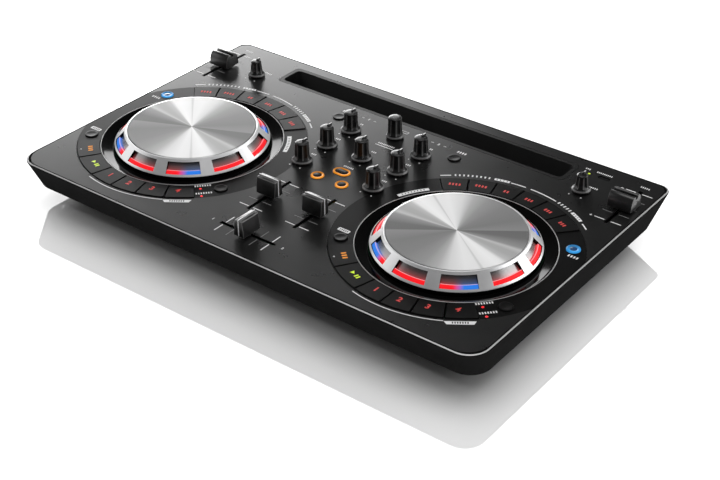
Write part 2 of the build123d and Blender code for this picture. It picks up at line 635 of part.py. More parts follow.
for side, sign in SIDES:
    parts[f"{side}_deck_ring"] = make_deck_ring(sign)
    parts[f"{side}_jog_wheel"] = make_jog_wheel(sign)
    parts[f"{side}_jog_plate"] = make_jog_plate(sign)
    for name, (start, end) in LOWER_KEYS.items():
        parts[f"{side}_{name}"] = make_key(sign, start, end)
    parts[f"{side}_upper_keys"] = make_upper_keys(sign)
    for name, (x, y) in deck_places(sign).items():
        parts[f"{side}_{name}_button"] = make_button(x, y, KEY_LOW)
    parts[f"{side}_load_button"] = make_button(LOAD_X * sign, LOAD_Y, STEM_FOOT)
    parts[f"{side}_phones_cue_button"] = make_button(PHONES_CUE_X * sign, PHONES_CUE_Y, STEM_FOOT)
    parts[f"{side}_channel_fader"] = make_fader_cap("y", CHANNEL_X * sign, CHANNEL_Y)
    parts[f"{side}_tempo_fader"] = make_tempo_cap(TEMPO_X * sign, TEMPO_Y)

parts["select_button"] = make_long_button(0, SELECT_Y, SELECT_LENGTH, SELECT_WIDTH, PANEL_TOP + BUTTON_RISE)
parts["standby_button"] = make_long_button(STANDBY_X, STANDBY_Y, STANDBY_LENGTH, STANDBY_WIDTH,
                                           PANEL_TOP - 0.4)
parts["crossfader"] = make_fader_cap("x", 0, CROSS_Y)
parts["browse_knob"] = make_knob(*BROWSE_AT, BROWSE_HIGH, BROWSE_SKIRT_R, pointer=False)
for name, (x, y) in KNOBS_AT.items():
    if name.endswith("volume_knob"):
        parts[name] = make_knob(x, y, VOLUME_HIGH, VOLUME_SKIRT_R, VOLUME_GRIP_R, VOLUME_TOP_R)
    else:
        parts[name] = make_knob(x, y, KNOB_HIGH, KNOB_SKIRT_R)

for name, shape in parts.items():
    export_step(shape, f"parts/{name}.step")
print(len(parts), "parts written")
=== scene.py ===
"""The looks of a two-deck DJ controller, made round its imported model. Meshes are in metres."""

import json
import math

import bmesh
import bpy
from mathutils import Matrix, Vector


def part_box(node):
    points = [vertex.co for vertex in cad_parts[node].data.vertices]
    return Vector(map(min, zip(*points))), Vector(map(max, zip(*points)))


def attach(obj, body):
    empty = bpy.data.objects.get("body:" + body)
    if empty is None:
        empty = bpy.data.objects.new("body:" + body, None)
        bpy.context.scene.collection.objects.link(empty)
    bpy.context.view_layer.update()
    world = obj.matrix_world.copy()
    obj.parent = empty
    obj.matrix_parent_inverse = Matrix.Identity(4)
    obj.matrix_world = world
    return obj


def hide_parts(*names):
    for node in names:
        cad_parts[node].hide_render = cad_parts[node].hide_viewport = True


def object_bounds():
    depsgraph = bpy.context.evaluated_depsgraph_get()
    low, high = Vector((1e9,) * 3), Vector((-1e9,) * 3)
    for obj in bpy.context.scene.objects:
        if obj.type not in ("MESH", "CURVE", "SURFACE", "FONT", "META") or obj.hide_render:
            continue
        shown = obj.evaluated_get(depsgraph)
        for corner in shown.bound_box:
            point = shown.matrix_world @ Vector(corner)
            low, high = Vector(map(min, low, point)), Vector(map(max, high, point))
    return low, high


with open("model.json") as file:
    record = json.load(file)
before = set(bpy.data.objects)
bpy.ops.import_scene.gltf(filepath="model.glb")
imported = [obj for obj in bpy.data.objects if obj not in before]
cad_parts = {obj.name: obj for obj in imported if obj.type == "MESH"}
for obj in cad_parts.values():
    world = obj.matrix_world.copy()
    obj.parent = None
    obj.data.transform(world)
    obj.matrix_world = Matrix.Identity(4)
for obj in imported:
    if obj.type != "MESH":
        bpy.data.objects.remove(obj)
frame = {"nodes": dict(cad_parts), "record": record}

bl_info = {
    "name": "DJ controller looks",
    "version": (1, 0, 0),
    "blender": (4, 5, 0),
    "location": "3D View > Sidebar > Controller",
    "description": "Builds the visible pieces and finishes of a two-deck DJ controller",
    "category": "Object",
}

# Sizes below are millimetres, and MM turns them into the metres of the meshes.
MM = 0.001
CAD_BOX = [list(corner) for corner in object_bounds()]
SIDES = (("left", -1), ("right", 1))


def box_mm(node):
    """A CAD node's lowest and highest corners, in millimetres."""
    low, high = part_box(node)
    return low / MM, high / MM


def middle(node):
    """The x and y of a CAD node's centre, in millimetres."""
    low, high = box_mm(node)
    return (low.x + high.x) / 2, (low.y + high.y) / 2


PANEL_Z = box_mm("top_panel")[1].z
KEY_Z = box_mm("left_play")[1].z
JOG = {side: middle(f"{side}_jog_wheel") for side, _ in SIDES}
JOG_R = (box_mm("left_jog_wheel")[1].x - box_mm("left_jog_wheel")[0].x) / 2
PLATE_R = (box_mm("left_jog_plate")[1].x - box_mm("left_jog_plate")[0].x) / 2
PLATE_LOW, PLATE_TOP = box_mm("left_jog_plate")[0].z, box_mm("left_jog_plate")[1].z

# Jog wheel: a bevelled wall with ten windows, each with a light strip along its lower edge
BEVEL_LOW_Z, BEVEL_TOP_Z, BEVEL_TOP_R = PANEL_Z + 0.8, PANEL_Z + 10.2, 49.1
BEVEL_SLOPE = (BEVEL_TOP_Z - BEVEL_LOW_Z) / (JOG_R - BEVEL_TOP_R)
WINDOW_COUNT, WINDOW_DEG, WINDOW_DEPTH = 10, 26, 2.4
WINDOW_IN_R, WINDOW_OUT_R = 50.5, 57.0
STRIP_IN_R, STRIP_HALF_DEG = 54.7, 12.8
WELL_IN_R, WELL_IN_Z, WELL_OUT_R = 59.3, PANEL_Z - 2.06, 68.0

# Printed marks stand INK above what they are printed on, and the outermost arcs round a deck lie at MARK_R
INK, MARK_R = 0.05, 90.6
PLATE_LETTER_R, PILL_R = 90.9, 72.6
KEY_MID_R, KEY_IN_R, KEY_OUT_R = 77.0, 69.3, 85.4
LAMP_DEG, LAMP_RADII = -42.9, (74.2, 84.5)
PILL_DEG = {"left": 31.0, "right": 149.0}
SHIFT_PLATE_OFF, ARC_PLATE_DEG = (-3.9, 8.5), 305.8
KNOB_LEGEND_UP, CHANNEL_DIGIT_X, CHANNEL_DIGIT_Y = 13.4, 32.6, 78.6
PLAY_DEG, CUE_DEG = 246.9, 228.7
PAD_DEGS = (262.5, 276.5, 290.8, 305.1)
LOWER_GAP_DEGS = (236.7, 255.4, 270.0, 284.6, 299.2)
UPPER_KEY_DEGS = [55 + 14 * k for k in range(6)]

# Knobs: the radius of the grip at its foot and of the crown; faces round one flute
KNOB_RADII, VOLUME_KNOB_RADII, FLUTE_FACES = (5.6, 5.1), (4.8, 4.0), 10
# Fader caps: the height that they start at, and their stem in the slot
CAP_FOOT, STEM_HALF_WIDTH, STEM_HALF_LENGTH = 38.0, 0.9, 2.8


# ---- Shader nodes ----

class Value:
    """A number in a material's node tree that plain arithmetic works on."""

    def __init__(self, finish, socket):
        self.finish = finish
        self.socket = socket

    def __add__(self, other):
        return self.finish.sum("ADD", self, other)

    def __radd__(self, other):
        return self.finish.sum("ADD", other, self)

    def __sub__(self, other):
        return self.finish.sum("SUBTRACT", self, other)

    def __rsub__(self, other):
        return self.finish.sum("SUBTRACT", other, self)

    def __mul__(self, other):
        return self.finish.sum("MULTIPLY", self, other)

    def __rmul__(self, other):
        return self.finish.sum("MULTIPLY", other, self)

    def __truediv__(self, other):
        return self.finish.sum("DIVIDE", self, other)


class Finish:
    """One material and the calls that its nodes are built with."""

    def __init__(self, name, constants):
        self.material = bpy.data.materials.new(name)
        self.material.use_nodes = True
        self.tree = self.material.node_tree
        self.shader = self.tree.nodes["Principled BSDF"]
        for socket, value in constants.items():
            self.shader.inputs[socket].default_value = value

    def node(self, kind, settings=None, inputs=None):
        """A new node: its settings and ramp stops first, then the values or links of its sockets."""
        node = self.tree.nodes.new(kind)
        for name, value in (settings or {}).items():
            if name == "stops":
                set_stops(node.color_ramp, value)
            else:
                setattr(node, name, value)
        for name, value in (inputs or {}).items():
            self.feed(node.inputs[name], value)
        return node

    def feed(self, socket, value):
        if isinstance(value, Value):
            self.tree.links.new(value.socket, socket)
        elif isinstance(value, bpy.types.NodeSocket):
            self.tree.links.new(value, socket)
        else:
            socket.default_value = value

    def sum(self, operation, *values):
        node = self.node("ShaderNodeMath", {"operation": operation}, dict(enumerate(values)))
        return Value(self, node.outputs[0])

    def place(self):
        return self.node("ShaderNodeTexCoord").outputs["Object"]

    def noise(self, scale, detail=2.0):
        node = self.node("ShaderNodeTexNoise", None,
                         {"Vector": self.place(), "Scale": scale, "Detail": detail})
        return Value(self, node.outputs[0])

    def line_noise(self, along, scale):
        """Noise that varies only with one number."""
        node = self.node("ShaderNodeTexNoise", {"noise_dimensions": "1D"}, {"W": along, "Scale": scale})
        return Value(self, node.outputs[0])

    def polar(self, centre):
        """Radius in metres and the angle in half turns, about an upright axis."""
        parts = self.node("ShaderNodeSeparateXYZ", None, {"Vector": self.place()})
        x = Value(self, parts.outputs["X"]) - centre[0] * MM
        y = Value(self, parts.outputs["Y"]) - centre[1] * MM
        radius = self.sum("SQRT", x * x + y * y)
        return radius, self.sum("ARCTAN2", y, x) / math.pi

    def ramp(self, factor, stops, blend="LINEAR"):
        node = self.node("ShaderNodeValToRGB", {"stops": stops}, {"Fac": factor})
        node.color_ramp.interpolation = blend
        return node.outputs["Color"]

    def mix(self, factor, first, second):
        node = self.node("ShaderNodeMix", {"data_type": "RGBA"}, {0: factor, 6: first, 7: second})
        return node.outputs[2]

    def bump(self, height, depth):
        """Relief, with its depth in millimetres."""
        node = self.node("ShaderNodeBump", None, {"Height": height, "Distance": depth * MM, "Strength": 1.0})
        self.feed(self.shader.inputs["Normal"], node.outputs["Normal"])

    def set(self, socket, value):
        self.feed(self.shader.inputs[socket], value)


def set_stops(ramp, stops):
    """Gives a colour ramp its (place, colour) stops; a grey may be one number."""
    for place, _ in stops[2:]:
        ramp.elements.new(place)
    for element, (place, colour) in zip(ramp.elements, stops):
        element.position = place
    for element, (place, colour) in zip(ramp.elements, stops):
        element.color = tuple(colour) if hasattr(colour, "__len__") else grey(colour)


def grey(level):
    return (level, level, level, 1.0)


# ---- Finishes ----

def plastic(name, shade, roughness, specular, grain, grain_depth, uneven=0.05):
    """Moulded plastic: fine grain, a little unevenness in shade and in gloss."""
    finish = Finish(name, {"Specular IOR Level": specular})
    cloud = finish.noise(60.0, 4.0)
    finish.set("Base Color", finish.mix(cloud, grey(shade * 0.8), grey(shade * 1.2)))
    finish.set("Roughness", cloud * (2 * uneven) + (roughness - uneven))
    finish.bump(finish.noise(grain, 2.0), grain_depth)
    return finish.material


def metal(name, colour, roughness, metallic=1.0):
    """Plated or painted metal with a faint orange-peel."""
    finish = Finish(name, {"Metallic": metallic})
    cloud = finish.noise(90.0, 3.0)
    dark = [level * 0.9 for level in colour]
    finish.set("Base Color", finish.mix(cloud, (*dark, 1.0), (*colour, 1.0)))
    finish.set("Roughness", cloud * 0.1 + (roughness - 0.05))
    finish.bump(finish.noise(2500.0, 2.0), 0.01)
    return finish.material


def brushed_disc(name, centre, painted_fan_lean_deg):
    """Spin-brushed aluminium with painted highlights: fans of light that meet in the middle, over fine rings.
    """
    finish = Finish(name, {"Metallic": 0.04, "Specular IOR Level": 0.1})
    radius, turn = finish.polar(centre)
    fan = finish.sum("FRACT", turn - painted_fan_lean_deg / 180.0)
    # Painted highlight levels by angle from the lean, in degrees: the fans of light are painted into the base
    # colour
    painted_fan_levels_deg = ((0, .43), (5.5, .58), (9, .3), (24, .14), (35, .13), (36.5, .25), (54, .19), (78, .22),
                (96, .3), (108, .45), (118, .76), (132, .92), (142, .9), (144, .66), (146, .9), (157, 1.0),
                (163, .93), (167, .56), (174, .44), (180, .43))
    colour = finish.ramp(fan, [(deg / 180.0, level) for deg, level in painted_fan_levels_deg])
    rings = finish.line_noise(radius, 9000.0)
    finish.set("Base Color", finish.mix(rings * 0.1, colour, grey(0.6)))
    finish.set("Roughness", rings * 0.08 + 0.36)
    finish.bump(rings, 0.004)
    return finish.material


def glow_ramp(finish, turn, colours):
    """The light's colour about the jog: red, with blue at one end of three of the windows."""
    red, blue = (*colours.red, 1.0), (*colours.blue, 1.0)
    share = finish.sum("FRACT", turn / 2.0)
    stops_deg = ((0, red), (36, red), (40, blue), (51, blue), (56, red), (216, red), (220, blue),
                 (236, blue), (242, red), (302, red), (309, blue), (322, blue), (326, red), (360, red))
    return finish.ramp(share, [(deg / 360.0, colour) for deg, colour in stops_deg])


def strip_light(name, centre, colours):
    """The lit strip in a jog window, with a painted highlight: a pale line along its upper edge."""
    finish = Finish(name, {"Roughness": 0.35, "Emission Strength": 1.0, "Specular IOR Level": 0.1})
    radius, turn = finish.polar(centre)
    glow = glow_ramp(finish, turn, colours)
    edge_r = on_bevel(STRIP_IN_R, -0.85)[0]
    # Painted highlight: the glow turns pale along the strip's upper edge
    upper = finish.ramp(radius / MM - edge_r + 0.2, ((0.0, 0.1), (0.18, 0.75), (0.5, 0.6), (0.66, 0.0)))
    lit = finish.mix(upper, glow, (1.0, 0.6, 0.66, 1.0))
    finish.set("Base Color", finish.mix(finish.noise(400.0), grey(0.01), grey(0.03)))
    finish.set("Emission Color", lit)
    return finish.material


def window_back(name, centre, colours):
    """The dark glossy wall behind a strip, with the strip's reflected light painted on it as a glow that
    fades up the wall.
    """
    finish = Finish(name, {"Emission Strength": 0.6, "Metallic": 0.7})
    radius, turn = finish.polar(centre)
    glow = glow_ramp(finish, turn, colours)
    back_r = on_bevel(WINDOW_IN_R, -WINDOW_DEPTH)[0]
    height = (radius / MM - back_r) / (STRIP_IN_R - WINDOW_IN_R)
    # Painted reflection: the strip's light on the wall is a glow that fades with height
    near = finish.ramp(height, ((0.0, 0.0), (0.3, 0.03), (0.7, 0.16), (1.0, 0.5)))
    finish.set("Base Color", grey(0.3))
    finish.set("Emission Color", finish.mix(near, grey(0.0), glow))
    finish.set("Roughness", finish.noise(700.0) * 0.06 + 0.2)
    return finish.material


def lamp(name, colour, strength):
    """A translucent lit plastic, a little uneven in brightness."""
    finish = Finish(name, {"Roughness": 0.28, "Emission Strength": strength, "Coat Weight": 0.6})
    cloud = finish.noise(500.0, 3.0)
    shade = [level * 0.6 for level in colour]
    finish.set("Base Color", (*colour, 1.0))
    finish.set("Emission Color", finish.mix(cloud, (*shade, 1.0), (*colour, 1.0)))
    return finish.material


def ring_lamp(name, centre, radius, colour, strength):
    """A lit ring with painted shade: its glow is painted darker on the far side and brightest on the near
    side.
    """
    finish = Finish(name, {"Roughness": 0.4, "Emission Strength": strength, "Specular IOR Level": 0.2})
    parts = finish.node("ShaderNodeSeparateXYZ", None, {"Vector": finish.place()})
    x = (Value(finish, parts.outputs["X"]) / MM - centre[0]) / radius
    y = (Value(finish, parts.outputs["Y"]) / MM - centre[1]) / radius
    # Painted shade: the glow darkens away from the near, front-right side
    toward = 0.5 + x * 0.3 - y * 0.35
    deep = [level * 0.12 for level in colour]
    glow = finish.mix(toward, (*deep, 1.0), (*colour, 1.0))
    finish.set("Base Color", (*[level * 0.5 for level in colour], 1.0))
    finish.set("Emission Color", glow)
    return finish.material


def ink(name, colour, glow=0.0):
    """Screen-printed ink with slight pinholes."""
    finish = Finish(name, {"Roughness": 0.6, "Emission Strength": glow, "Specular IOR Level": 0.3})
    speckle = finish.noise(2600.0, 2.0)
    tired = [level * 0.75 for level in colour]
    shade = finish.mix(speckle, (*tired, 1.0), (*colour, 1.0))
    finish.set("Base Color", shade)
    finish.set("Emission Color", shade)
    return finish.material


def circuit_board(name):
    """Green solder mask over faint tracks."""
    finish = Finish(name, {"Roughness": 0.35, "Coat Weight": 0.4})
    tracks = finish.node("ShaderNodeTexBrick", {"offset": 0.3}, {
        "Vector": finish.place(), "Scale": 180.0, "Mortar Size": 0.06,
        "Color1": (0.005, 0.07, 0.03, 1.0), "Color2": (0.006, 0.085, 0.035, 1.0),
        "Mortar": (0.03, 0.16, 0.07, 1.0)})
    finish.set("Base Color", tracks.outputs["Color"])
    finish.bump(Value(finish, tracks.outputs["Fac"]), 0.03)
    return finish.material


# Shade, roughness, specular level, grain scale, grain depth in millimetres, and unevenness where not 0.05
PLASTICS = {
    "case_plastic": (0.015, 0.36, 0.0, 2600.0, 0.01),
    "panel_satin": (0.008, 0.28, 0.32, 3600.0, 0.001, 0.02),
    "tray_plastic": (0.008, 0.4, 0.1, 2400.0, 0.01),
    "deck_gloss": (0.005, 0.3, 0.07, 3600.0, 0.001, 0.02),
    "well_gloss": (0.002, 0.08, 0.09, 300.0, 0.002, 0.01),
    "key_plastic": (0.007, 0.31, 0.08, 4200.0, 0.004),
    "button_gloss": (0.005, 0.36, 0.1, 900.0, 0.005),
    "knob_gloss": (0.004, 0.28, 0.5, 700.0, 0.004),
    # Lighter grey for knob ridges, knob shoulders and fader cap edges: painted highlights
    "ridge_satin": (0.15, 0.3, 0.5, 3000.0, 0.004),
    "fader_plastic": (0.013, 0.3, 0.6, 3800.0, 0.006),
    # Near black for the lines along key edges: painted shadow of the gaps between keys
    "gap_black": (0.001, 0.8, 0.0, 3200.0, 0.02),
    "switch_plastic": (0.05, 0.4, 0.5, 3200.0, 0.02),
    "foot_rubber": (0.02, 0.75, 0.2, 1800.0, 0.05),
}

# Colour, roughness, and how metallic where the metal is painted
METALS = {
    "jog_silver": ((0.95, 0.95, 0.96), 0.36, 0.6),
    # A grey for the wire round each well: a painted highlight of the well's gloss black edge
    "hairline": ((0.4, 0.4, 0.4), 0.45, 0.4),
    # A grey for the line round the case's edge: a painted highlight
    "rim_satin": ((0.62, 0.62, 0.62), 0.4, 0.3),
    "pot_metal": ((0.5, 0.5, 0.48), 0.35),
    "spindle_steel": ((0.6, 0.6, 0.6), 0.25),
    "socket_metal": ((0.22, 0.22, 0.22), 0.4),
    "screw_steel": ((0.25, 0.25, 0.26), 0.35),
}


def make_finishes(colours):
    inks = {
        # White print has a faint glow, painted brightness, though it is no lamp
        "print_white": ((0.85, 0.85, 0.85), 0.12),
        "print_dim": ((0.22, 0.22, 0.22),),
        "legend_red": (tuple(colours.legend), 0.35),
        "legend_orange": (tuple(colours.orange), 0.35),
    }
    lamps = {
        "sync_middle": ((0.004, 0.03, 0.09), 1.0),
        "lit_green": (tuple(colours.green), 0.9),
        "lit_red": (tuple(colours.red), 0.9),
    }
    kinds = ((plastic, PLASTICS), (metal, METALS), (ink, inks), (lamp, lamps))
    finishes = {name: make(name, *values) for make, rows in kinds for name, values in rows.items()}
    finishes["board"] = circuit_board("board")
    return finishes


FINISHES = {}


# ---- Meshes ----

# Edges sharper than this stay crisp when a piece is shaded smooth
CREASE_DEG = 32.0


def vert(bm, x, y, z):
    return bm.verts.new((x * MM, y * MM, z * MM))


def turned(profile, centre=(0.0, 0.0), steps=96, loop=False, flute=None, stretch=0.0, skip=None):
    """A mesh turned about an upright axis from (radius, height) points; stretch makes its plan a slot."""
    bm = bmesh.new()
    rings = []
    for r, z in profile:
        ring = []
        for k in range(steps):
            turn = math.tau * (k + (0.5 if stretch else 0.0)) / steps
            reach = flute(r, z, turn) if flute else r
            x = centre[0] + math.copysign(stretch, math.cos(turn)) + reach * math.cos(turn)
            ring.append(vert(bm, x, centre[1] + reach * math.sin(turn), z))
        rings.append(ring)
    pairs = list(zip(rings, rings[1:]))
    if loop:
        pairs.append((rings[-1], rings[0]))
    for row, (low, high) in enumerate(pairs):
        for k in range(steps):
            if not (skip and skip(row, k)):
                after = (k + 1) % steps
                bm.faces.new((low[k], low[after], high[after], high[k]))
    return bm, rings


def swept(points, start_deg, end_deg, centre=(0.0, 0.0), step_deg=1.0):
    """A closed sector, its (radius, height) section carried from one angle to another."""
    bm = bmesh.new()
    count = max(1, round(abs(end_deg - start_deg) / step_deg))
    rows = []
    for k in range(count + 1):
        turn = math.radians(start_deg + (end_deg - start_deg) * k / count)
        across, up = math.cos(turn), math.sin(turn)
        rows.append([vert(bm, centre[0] + r * across, centre[1] + r * up, z) for r, z in points])
    for low, high in zip(rows, rows[1:]):
        for k in range(len(points)):
            after = (k + 1) % len(points)
            bm.faces.new((low[k], low[after], high[after], high[k]))
    bm.faces.new(rows[0])
    bm.faces.new(reversed(rows[-1]))
    return bm


def extruded(outline, low, high, axis="z"):
    """A closed prism from outline points; its length runs along z, or along x for a side outline."""
    bm = bmesh.new()
    place = (lambda a, b, c: (a, b, c)) if axis == "z" else (lambda a, b, c: (c, a, b))
    ends = [[vert(bm, *place(a, b, level)) for a, b in outline] for level in (low, high)]
    for k in range(len(outline)):
        after = (k + 1) % len(outline)
        bm.faces.new((ends[0][k], ends[0][after], ends[1][after], ends[1][k]))
    bm.faces.new(ends[0])
    bm.faces.new(reversed(ends[1]))
    return bm


def block(x_low, x_high, y_low, y_high, z_low, z_high):
    return extruded([(x_low, y_low), (x_high, y_low), (x_high, y_high), (x_low, y_high)], z_low, z_high)


def moved(bm, x=0.0, y=0.0, z=0.0, turn_deg=0.0):
    turn = Matrix.Rotation(math.radians(turn_deg), 4, "Z")
    bm.transform(Matrix.Translation(Vector((x, y, z)) * MM) @ turn)
    return bm


def joined(parts):
    """Several bmeshes as one."""
    whole = bmesh.new()
    for part in parts:
        mesh = bpy.data.meshes.new("part")
        part.to_mesh(mesh)
        part.free()
        whole.from_mesh(mesh)
        bpy.data.meshes.remove(mesh)
    return whole


def rounded(bm, width, angle_deg=25.0, material=-1):
    """The same mesh with its sharp edges rounded; the new faces may take a second material."""
    bmesh.ops.recalc_face_normals(bm, faces=bm.faces)
    sharp = [e for e in bm.edges if len(e.link_faces) == 2 and e.calc_face_angle() > math.radians(angle_deg)]
    bmesh.ops.bevel(bm, geom=sharp, offset=width * MM, segments=2, profile=0.5, affect="EDGES",
                    clamp_overlap=True, material=material)
    return bm


def piece(name, bm, finishes, body, replaces=()):
    """Closes and shades a mesh, and parents it as one piece to its body."""
    bmesh.ops.remove_doubles(bm, verts=bm.verts, dist=0.0005 * MM)
    bmesh.ops.recalc_face_normals(bm, faces=bm.faces)
    for face in bm.faces:
        face.smooth = True
    for edge in bm.edges:
        if len(edge.link_faces) == 2 and edge.calc_face_angle(0.0) > math.radians(CREASE_DEG):
            edge.smooth = False
    mesh = bpy.data.meshes.new(name)
    bm.to_mesh(mesh)
    bm.free()
    thing = bpy.data.objects.new(name, mesh)
    bpy.context.scene.collection.objects.link(thing)
    for finish in finishes if isinstance(finishes, (list, tuple)) else [finishes]:
        mesh.materials.append(FINISHES[finish] if isinstance(finish, str) else finish)
    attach(thing, body)
    if replaces:
        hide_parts(*replaces)


# ---- Geometry Nodes ----

def new_tree(name, inputs):
    tree = bpy.data.node_groups.new(name, "GeometryNodeTree")
    for label, kind in inputs:
        tree.interface.new_socket(name=label, in_out="INPUT", socket_type=kind)
    tree.interface.new_socket(name="Geometry", in_out="OUTPUT", socket_type="NodeSocketGeometry")
    return tree


def add(tree, kind, links, **settings):
    """A node with its settings, then its sockets linked or given values."""
    node = tree.nodes.new(kind)
    for name, value in settings.items():
        setattr(node, name, value)
    for socket, value in links.items():
        if isinstance(value, bpy.types.NodeSocket):
            tree.links.new(value, node.inputs[socket])
        else:
            node.inputs[socket].default_value = value
    return node


def end_tree(tree, geometry, material):
    real = add(tree, "GeometryNodeRealizeInstances", {"Geometry": geometry})
    dressed = add(tree, "GeometryNodeSetMaterial", {"Geometry": real.outputs[0], "Material": material})
    add(tree, "NodeGroupOutput", {"Geometry": dressed.outputs[0]})
    return tree


def around_tree():
    """Copies of a piece, turned evenly about an upright axis."""
    tree = new_tree("Copies around", [("Piece", "NodeSocketObject"), ("Count", "NodeSocketInt"),
                                      ("Centre", "NodeSocketVector"), ("First", "NodeSocketFloat"),
                                      ("Step", "NodeSocketFloat"), ("Material", "NodeSocketMaterial")])
    given = tree.nodes.new("NodeGroupInput").outputs
    source = add(tree, "GeometryNodeObjectInfo", {"Object": given["Piece"]})
    points = add(tree, "GeometryNodePoints", {"Count": given["Count"], "Position": given["Centre"]})
    index = tree.nodes.new("GeometryNodeInputIndex").outputs[0]
    turn = add(tree, "ShaderNodeMath", {0: index, 1: given["Step"], 2: given["First"]},
               operation="MULTIPLY_ADD")
    spin = add(tree, "ShaderNodeCombineXYZ", {"Z": turn.outputs[0]})
    copies = add(tree, "GeometryNodeInstanceOnPoints", {
        "Points": points.outputs[0], "Instance": source.outputs["Geometry"], "Rotation": spin.outputs[0]})
    return end_tree(tree, copies.outputs[0], given["Material"])


def row_tree():
    """Equal bars in a straight row, for scale ticks and lines of small print."""
    tree = new_tree("Bars in a row", [("Count", "NodeSocketInt"), ("Start", "NodeSocketVector"),
                                      ("Step", "NodeSocketVector"), ("Bar", "NodeSocketVector"),
                                      ("Turn", "NodeSocketFloat"), ("Material", "NodeSocketMaterial")])
    given = tree.nodes.new("NodeGroupInput").outputs
    line = add(tree, "GeometryNodeMeshLine", {
        "Count": given["Count"], "Start Location": given["Start"], "Offset": given["Step"]}, mode="OFFSET")
    bar = add(tree, "GeometryNodeMeshCube", {"Size": given["Bar"]})
    spin = add(tree, "ShaderNodeCombineXYZ", {"Z": given["Turn"]})
    copies = add(tree, "GeometryNodeInstanceOnPoints", {
        "Points": line.outputs[0], "Instance": bar.outputs[0], "Rotation": spin.outputs[0]})
    return end_tree(tree, copies.outputs[0], given["Material"])


TREES = {}


def grown(tree_name, **inputs):
    """The plain mesh that a tree makes from these inputs, as a bmesh."""
    tree = TREES[tree_name]
    host = bpy.data.objects.new("host", bpy.data.meshes.new("host"))
    bpy.context.scene.collection.objects.link(host)
    modifier = host.modifiers.new("grow", "NODES")
    modifier.node_group = tree
    for item in tree.interface.items_tree:
        if item.in_out == "INPUT":
            modifier[item.identifier] = inputs[item.name]
    scene = bpy.context.evaluated_depsgraph_get()
    mesh = bpy.data.meshes.new_from_object(host.evaluated_get(scene))
    bm = bmesh.new()
    bm.from_mesh(mesh)
    bpy.data.objects.remove(host)
    bpy.data.meshes.remove(mesh)
    return bm


def around(bm, count, centre, first_deg, step_deg):
    """Copies of a bmesh about an upright axis."""
    mesh = bpy.data.meshes.new("source")
    bm.to_mesh(mesh)
    bm.free()
    source = bpy.data.objects.new("source", mesh)
    bpy.context.scene.collection.objects.link(source)
    result = grown("around", Piece=source, Count=count, Centre=[centre[0] * MM, centre[1] * MM, 0.0],
                   First=math.radians(first_deg), Step=math.radians(step_deg),
                   Material=FINISHES["print_white"])
    bpy.data.objects.remove(source)
    bpy.data.meshes.remove(mesh)
    return result


def bars(x, y, step_x, step_y, count, length, width, z=PANEL_Z, turn_deg=0.0):
    """A straight row of printed bars, starting at x, y."""
    start = [x * MM, y * MM, (z + INK / 2) * MM]
    return grown("row", Count=count, Start=start, Step=[step_x * MM, step_y * MM, 0.0],
                 Bar=[length * MM, width * MM, INK * MM], Turn=math.radians(turn_deg),
                 Material=FINISHES["print_white"])


# ---- Printed marks ----

def label(x, y, letters, turn_deg, height, z=PANEL_Z):
    """A line of small print as a row of upright letter-sized bars, centred on x, y."""
    pitch, width = height * 0.84, height * 0.44
    along = math.radians(turn_deg)
    half = pitch * (letters - 1) / 2
    step_x, step_y = pitch * math.cos(along), pitch * math.sin(along)
    start_x, start_y = x - half * math.cos(along), y - half * math.sin(along)
    return bars(start_x, start_y, step_x, step_y, letters, width, height, z, turn_deg)


def digit(text, x, y, size, z, turn_deg=0.0):
    """A printed digit or sign, centred on x, y."""
    curve = bpy.data.curves.new("digit", "FONT")
    curve.body = text
    curve.size = size * MM
    curve.extrude = INK * MM / 2
    curve.offset = size * MM * 0.03
    curve.align_x = "CENTER"
    curve.align_y = "CENTER"
    holder = bpy.data.objects.new("digit", curve)
    bpy.context.scene.collection.objects.link(holder)
    scene = bpy.context.evaluated_depsgraph_get()
    mesh = bpy.data.meshes.new_from_object(holder.evaluated_get(scene))
    bm = bmesh.new()
    bm.from_mesh(mesh)
    bpy.data.objects.remove(holder)
    bpy.data.meshes.remove(mesh)
    return moved(bm, x, y, z + INK / 2, turn_deg)


def around_jog(side, radius, deg):
    turn = math.radians(deg)
    return JOG[side][0] + radius * math.cos(turn), JOG[side][1] + radius * math.sin(turn)


def band(side, inner, outer, start_deg, end_deg, z=PANEL_Z, step_deg=1.0):
    """A printed stretch of ring about a jog wheel."""
    section = [(inner, z - INK), (outer, z - INK), (outer, z + INK), (inner, z + INK)]
    return swept(section, start_deg, end_deg, JOG[side], step_deg)


def flat(outline, z=PANEL_Z):
    """A printed shape."""
    return extruded(outline, z - INK, z + INK)


def arc(side, radius, width, start_deg, end_deg):
    return band(side, radius - width / 2, radius + width / 2, start_deg, end_deg, step_deg=2.0)


def arc_label(side, radius, start_deg, end_deg, letters, height, z=PANEL_Z):
    """Letter-sized marks that follow the deck's edge."""
    marks = []
    for k in range(letters):
        deg = start_deg + (end_deg - start_deg) * k / (letters - 1)
        marks.append(label(*around_jog(side, radius, deg), 1, deg - 90.0, height, z))
    return marks


def plate(x, y, length, width, chamfer):
    """A printed panel with clipped corners."""
    a, b, c = length / 2, width / 2, chamfer
    outline = [(-a + c, -b), (a - c, -b), (a, -b + c), (a, b - c), (a - c, b), (-a + c, b), (-a, b - c),
               (-a, -b + c)]
    return moved(flat(outline), x, y)


def ring_line(x, y, length, width, line):
    """A printed outline: four bars round a plate."""
    a, b = length / 2, width / 2
    low, high = PANEL_Z - INK, PANEL_Z + INK
    sides = [block(-a, a, -b, -b + line, low, high), block(-a, a, b - line, b, low, high),
             block(-a, -a + line, -b, b, low, high), block(a - line, a, -b, b, low, high)]
    return moved(joined(sides), x, y)


